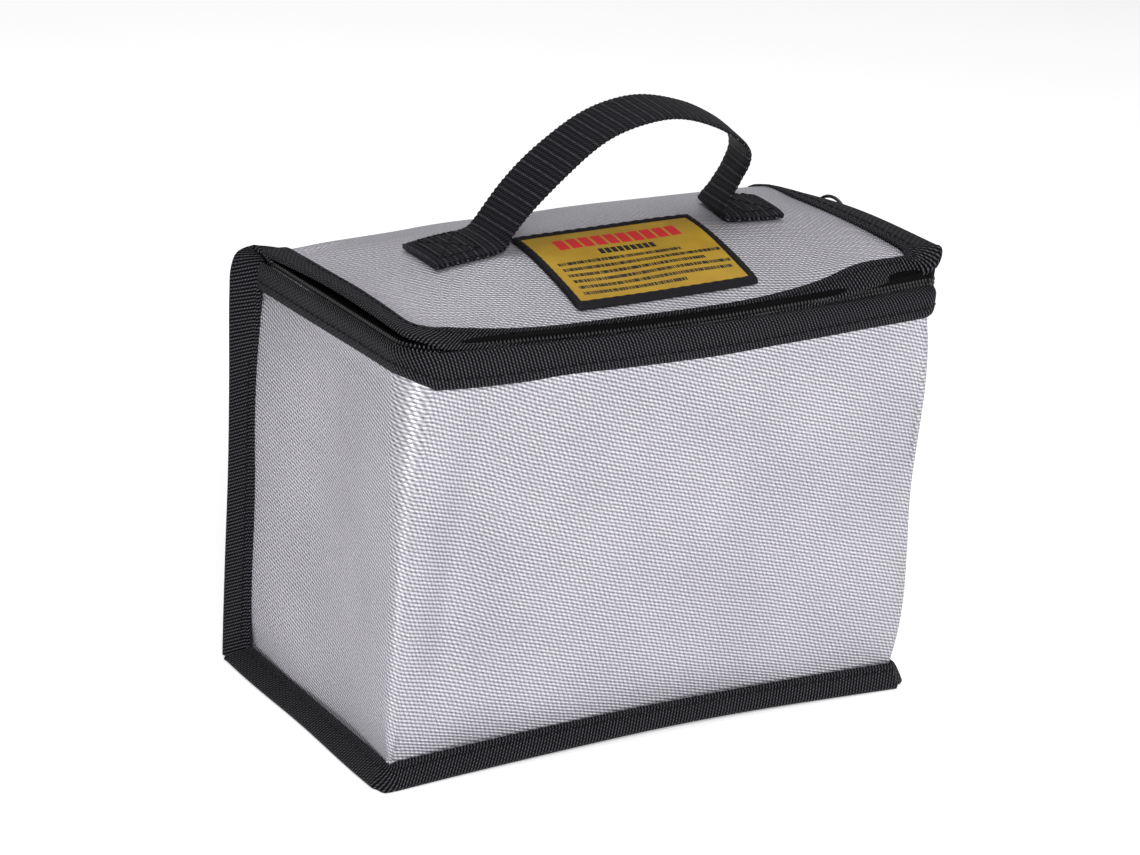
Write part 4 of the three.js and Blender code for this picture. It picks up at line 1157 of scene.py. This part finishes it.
def make_slider():
    low, high = box_mm("slider_body")
    rounded_plate("slider_outer_plate", (high.x - 1.0, low.y, low.z), (high.x, high.y, high.z), 1.6,
                  ENAMEL, "slider", replaces=["slider_body"])
    rounded_plate("slider_inner_plate", (low.x, low.y, low.z), (low.x + 1.0, high.y, high.z), 1.6,
                  ENAMEL, "slider")
    neck_z = zip_middle(4.4)[2]
    rounded_plate("slider_neck", (low.x + 0.9, high.y - 3.2, neck_z - 0.22),
                  (high.x - 0.9, high.y - 0.6, neck_z + 0.22), 0.2, ENAMEL, "slider")
    start, end = box_mm("slider_bridge")
    arch = path_through([(start.x - 0.3, start.y + 0.5), (end.x - 0.9, start.y + 0.9),
                         (end.x - 0.4, start.y + 2.2), (end.x - 0.4, end.y - 2.2),
                         (end.x - 0.9, end.y - 0.9), (start.x - 0.3, end.y - 0.5)], 30)
    slope = unit(np.gradient(arch, axis=0))
    mid_z = (start.z + end.z) / 2
    rings = []
    for (x, y), (dx, dy) in zip(arch, slope):
        out = np.array((dy, -dx, 0))
        angles = [TAU * k / 12 for k in range(12)]
        rings.append([np.array((x, y, mid_z)) + out * 0.4 * math.cos(a) + np.array((0, 0, 0.9)) * math.sin(a)
                      for a in angles])
    sweep_piece("slider_crown", rings, ENAMEL, "slider", replaces=["slider_bridge"])


def make_pull():
    """A thin wire ring, a little flatter than round, hung from the slider's bridge."""
    radius, wire = 9.9, 0.65
    tilt = Matrix.Rotation(math.radians(5), 4, "Z") @ Matrix.Rotation(math.radians(-8), 4, "X")
    rings = []
    for k in range(96):
        a = TAU * k / 96
        centre = Vector((0, -radius + radius * math.cos(a), radius * 0.97 * math.sin(a)))
        out = Vector((0, math.cos(a), math.sin(a)))
        ring = []
        for j in range(12):
            b = TAU * j / 12
            point = tilt @ (centre + out * wire * math.cos(b) + Vector((1, 0, 0)) * wire * math.sin(b))
            ring.append(PULL_PIVOT + point)
        rings.append(ring)
    sweep_piece("pull_wire_ring", rings, ENAMEL, "pull", loop=True, replaces=["pull_ring"])


make_slider()
make_pull()


# ---- studio --------------------------------------------------------------------------------------

def make_studio():
    scene = bpy.context.scene
    floor = bpy.data.meshes.new("floor")
    size = 6.0
    corners = [(-size, -size, 0), (size, -size, 0), (size, size, 0), (-size, size, 0)]
    floor.from_pydata(corners, [], [(0, 1, 2, 3)])
    floor.materials.append(stage_look("#fbfbfb", 0.36))
    ground = bpy.data.objects.new("floor", floor)
    ground.location.z = -0.0002
    scene.collection.objects.link(ground)
    world = bpy.data.worlds.new("studio")
    world.use_nodes = True
    world.node_tree.nodes["Background"].inputs["Color"].default_value = (1, 1, 1, 1)
    world.node_tree.nodes["Background"].inputs["Strength"].default_value = 0.3
    scene.world = world
    for name, place, size, power in (
        ("key", (-0.7, -1.45, 1.15), 0.4, 24),
        ("fill", (1.2, -1.1, 0.7), 0.8, 5),
        ("top", (0.1, 0.3, 1.8), 1.2, 10),
    ):
        data = bpy.data.lights.new(name, "AREA")
        data.energy = power
        data.size = size
        lamp = bpy.data.objects.new(name, data)
        lamp.location = place
        lamp.rotation_mode = "QUATERNION"
        lamp.rotation_quaternion = (Vector(place) - Vector((0, 0, 0.08))).to_track_quat("Z", "Y")
        scene.collection.objects.link(lamp)
    scene.view_settings.view_transform = "Standard"


make_studio()
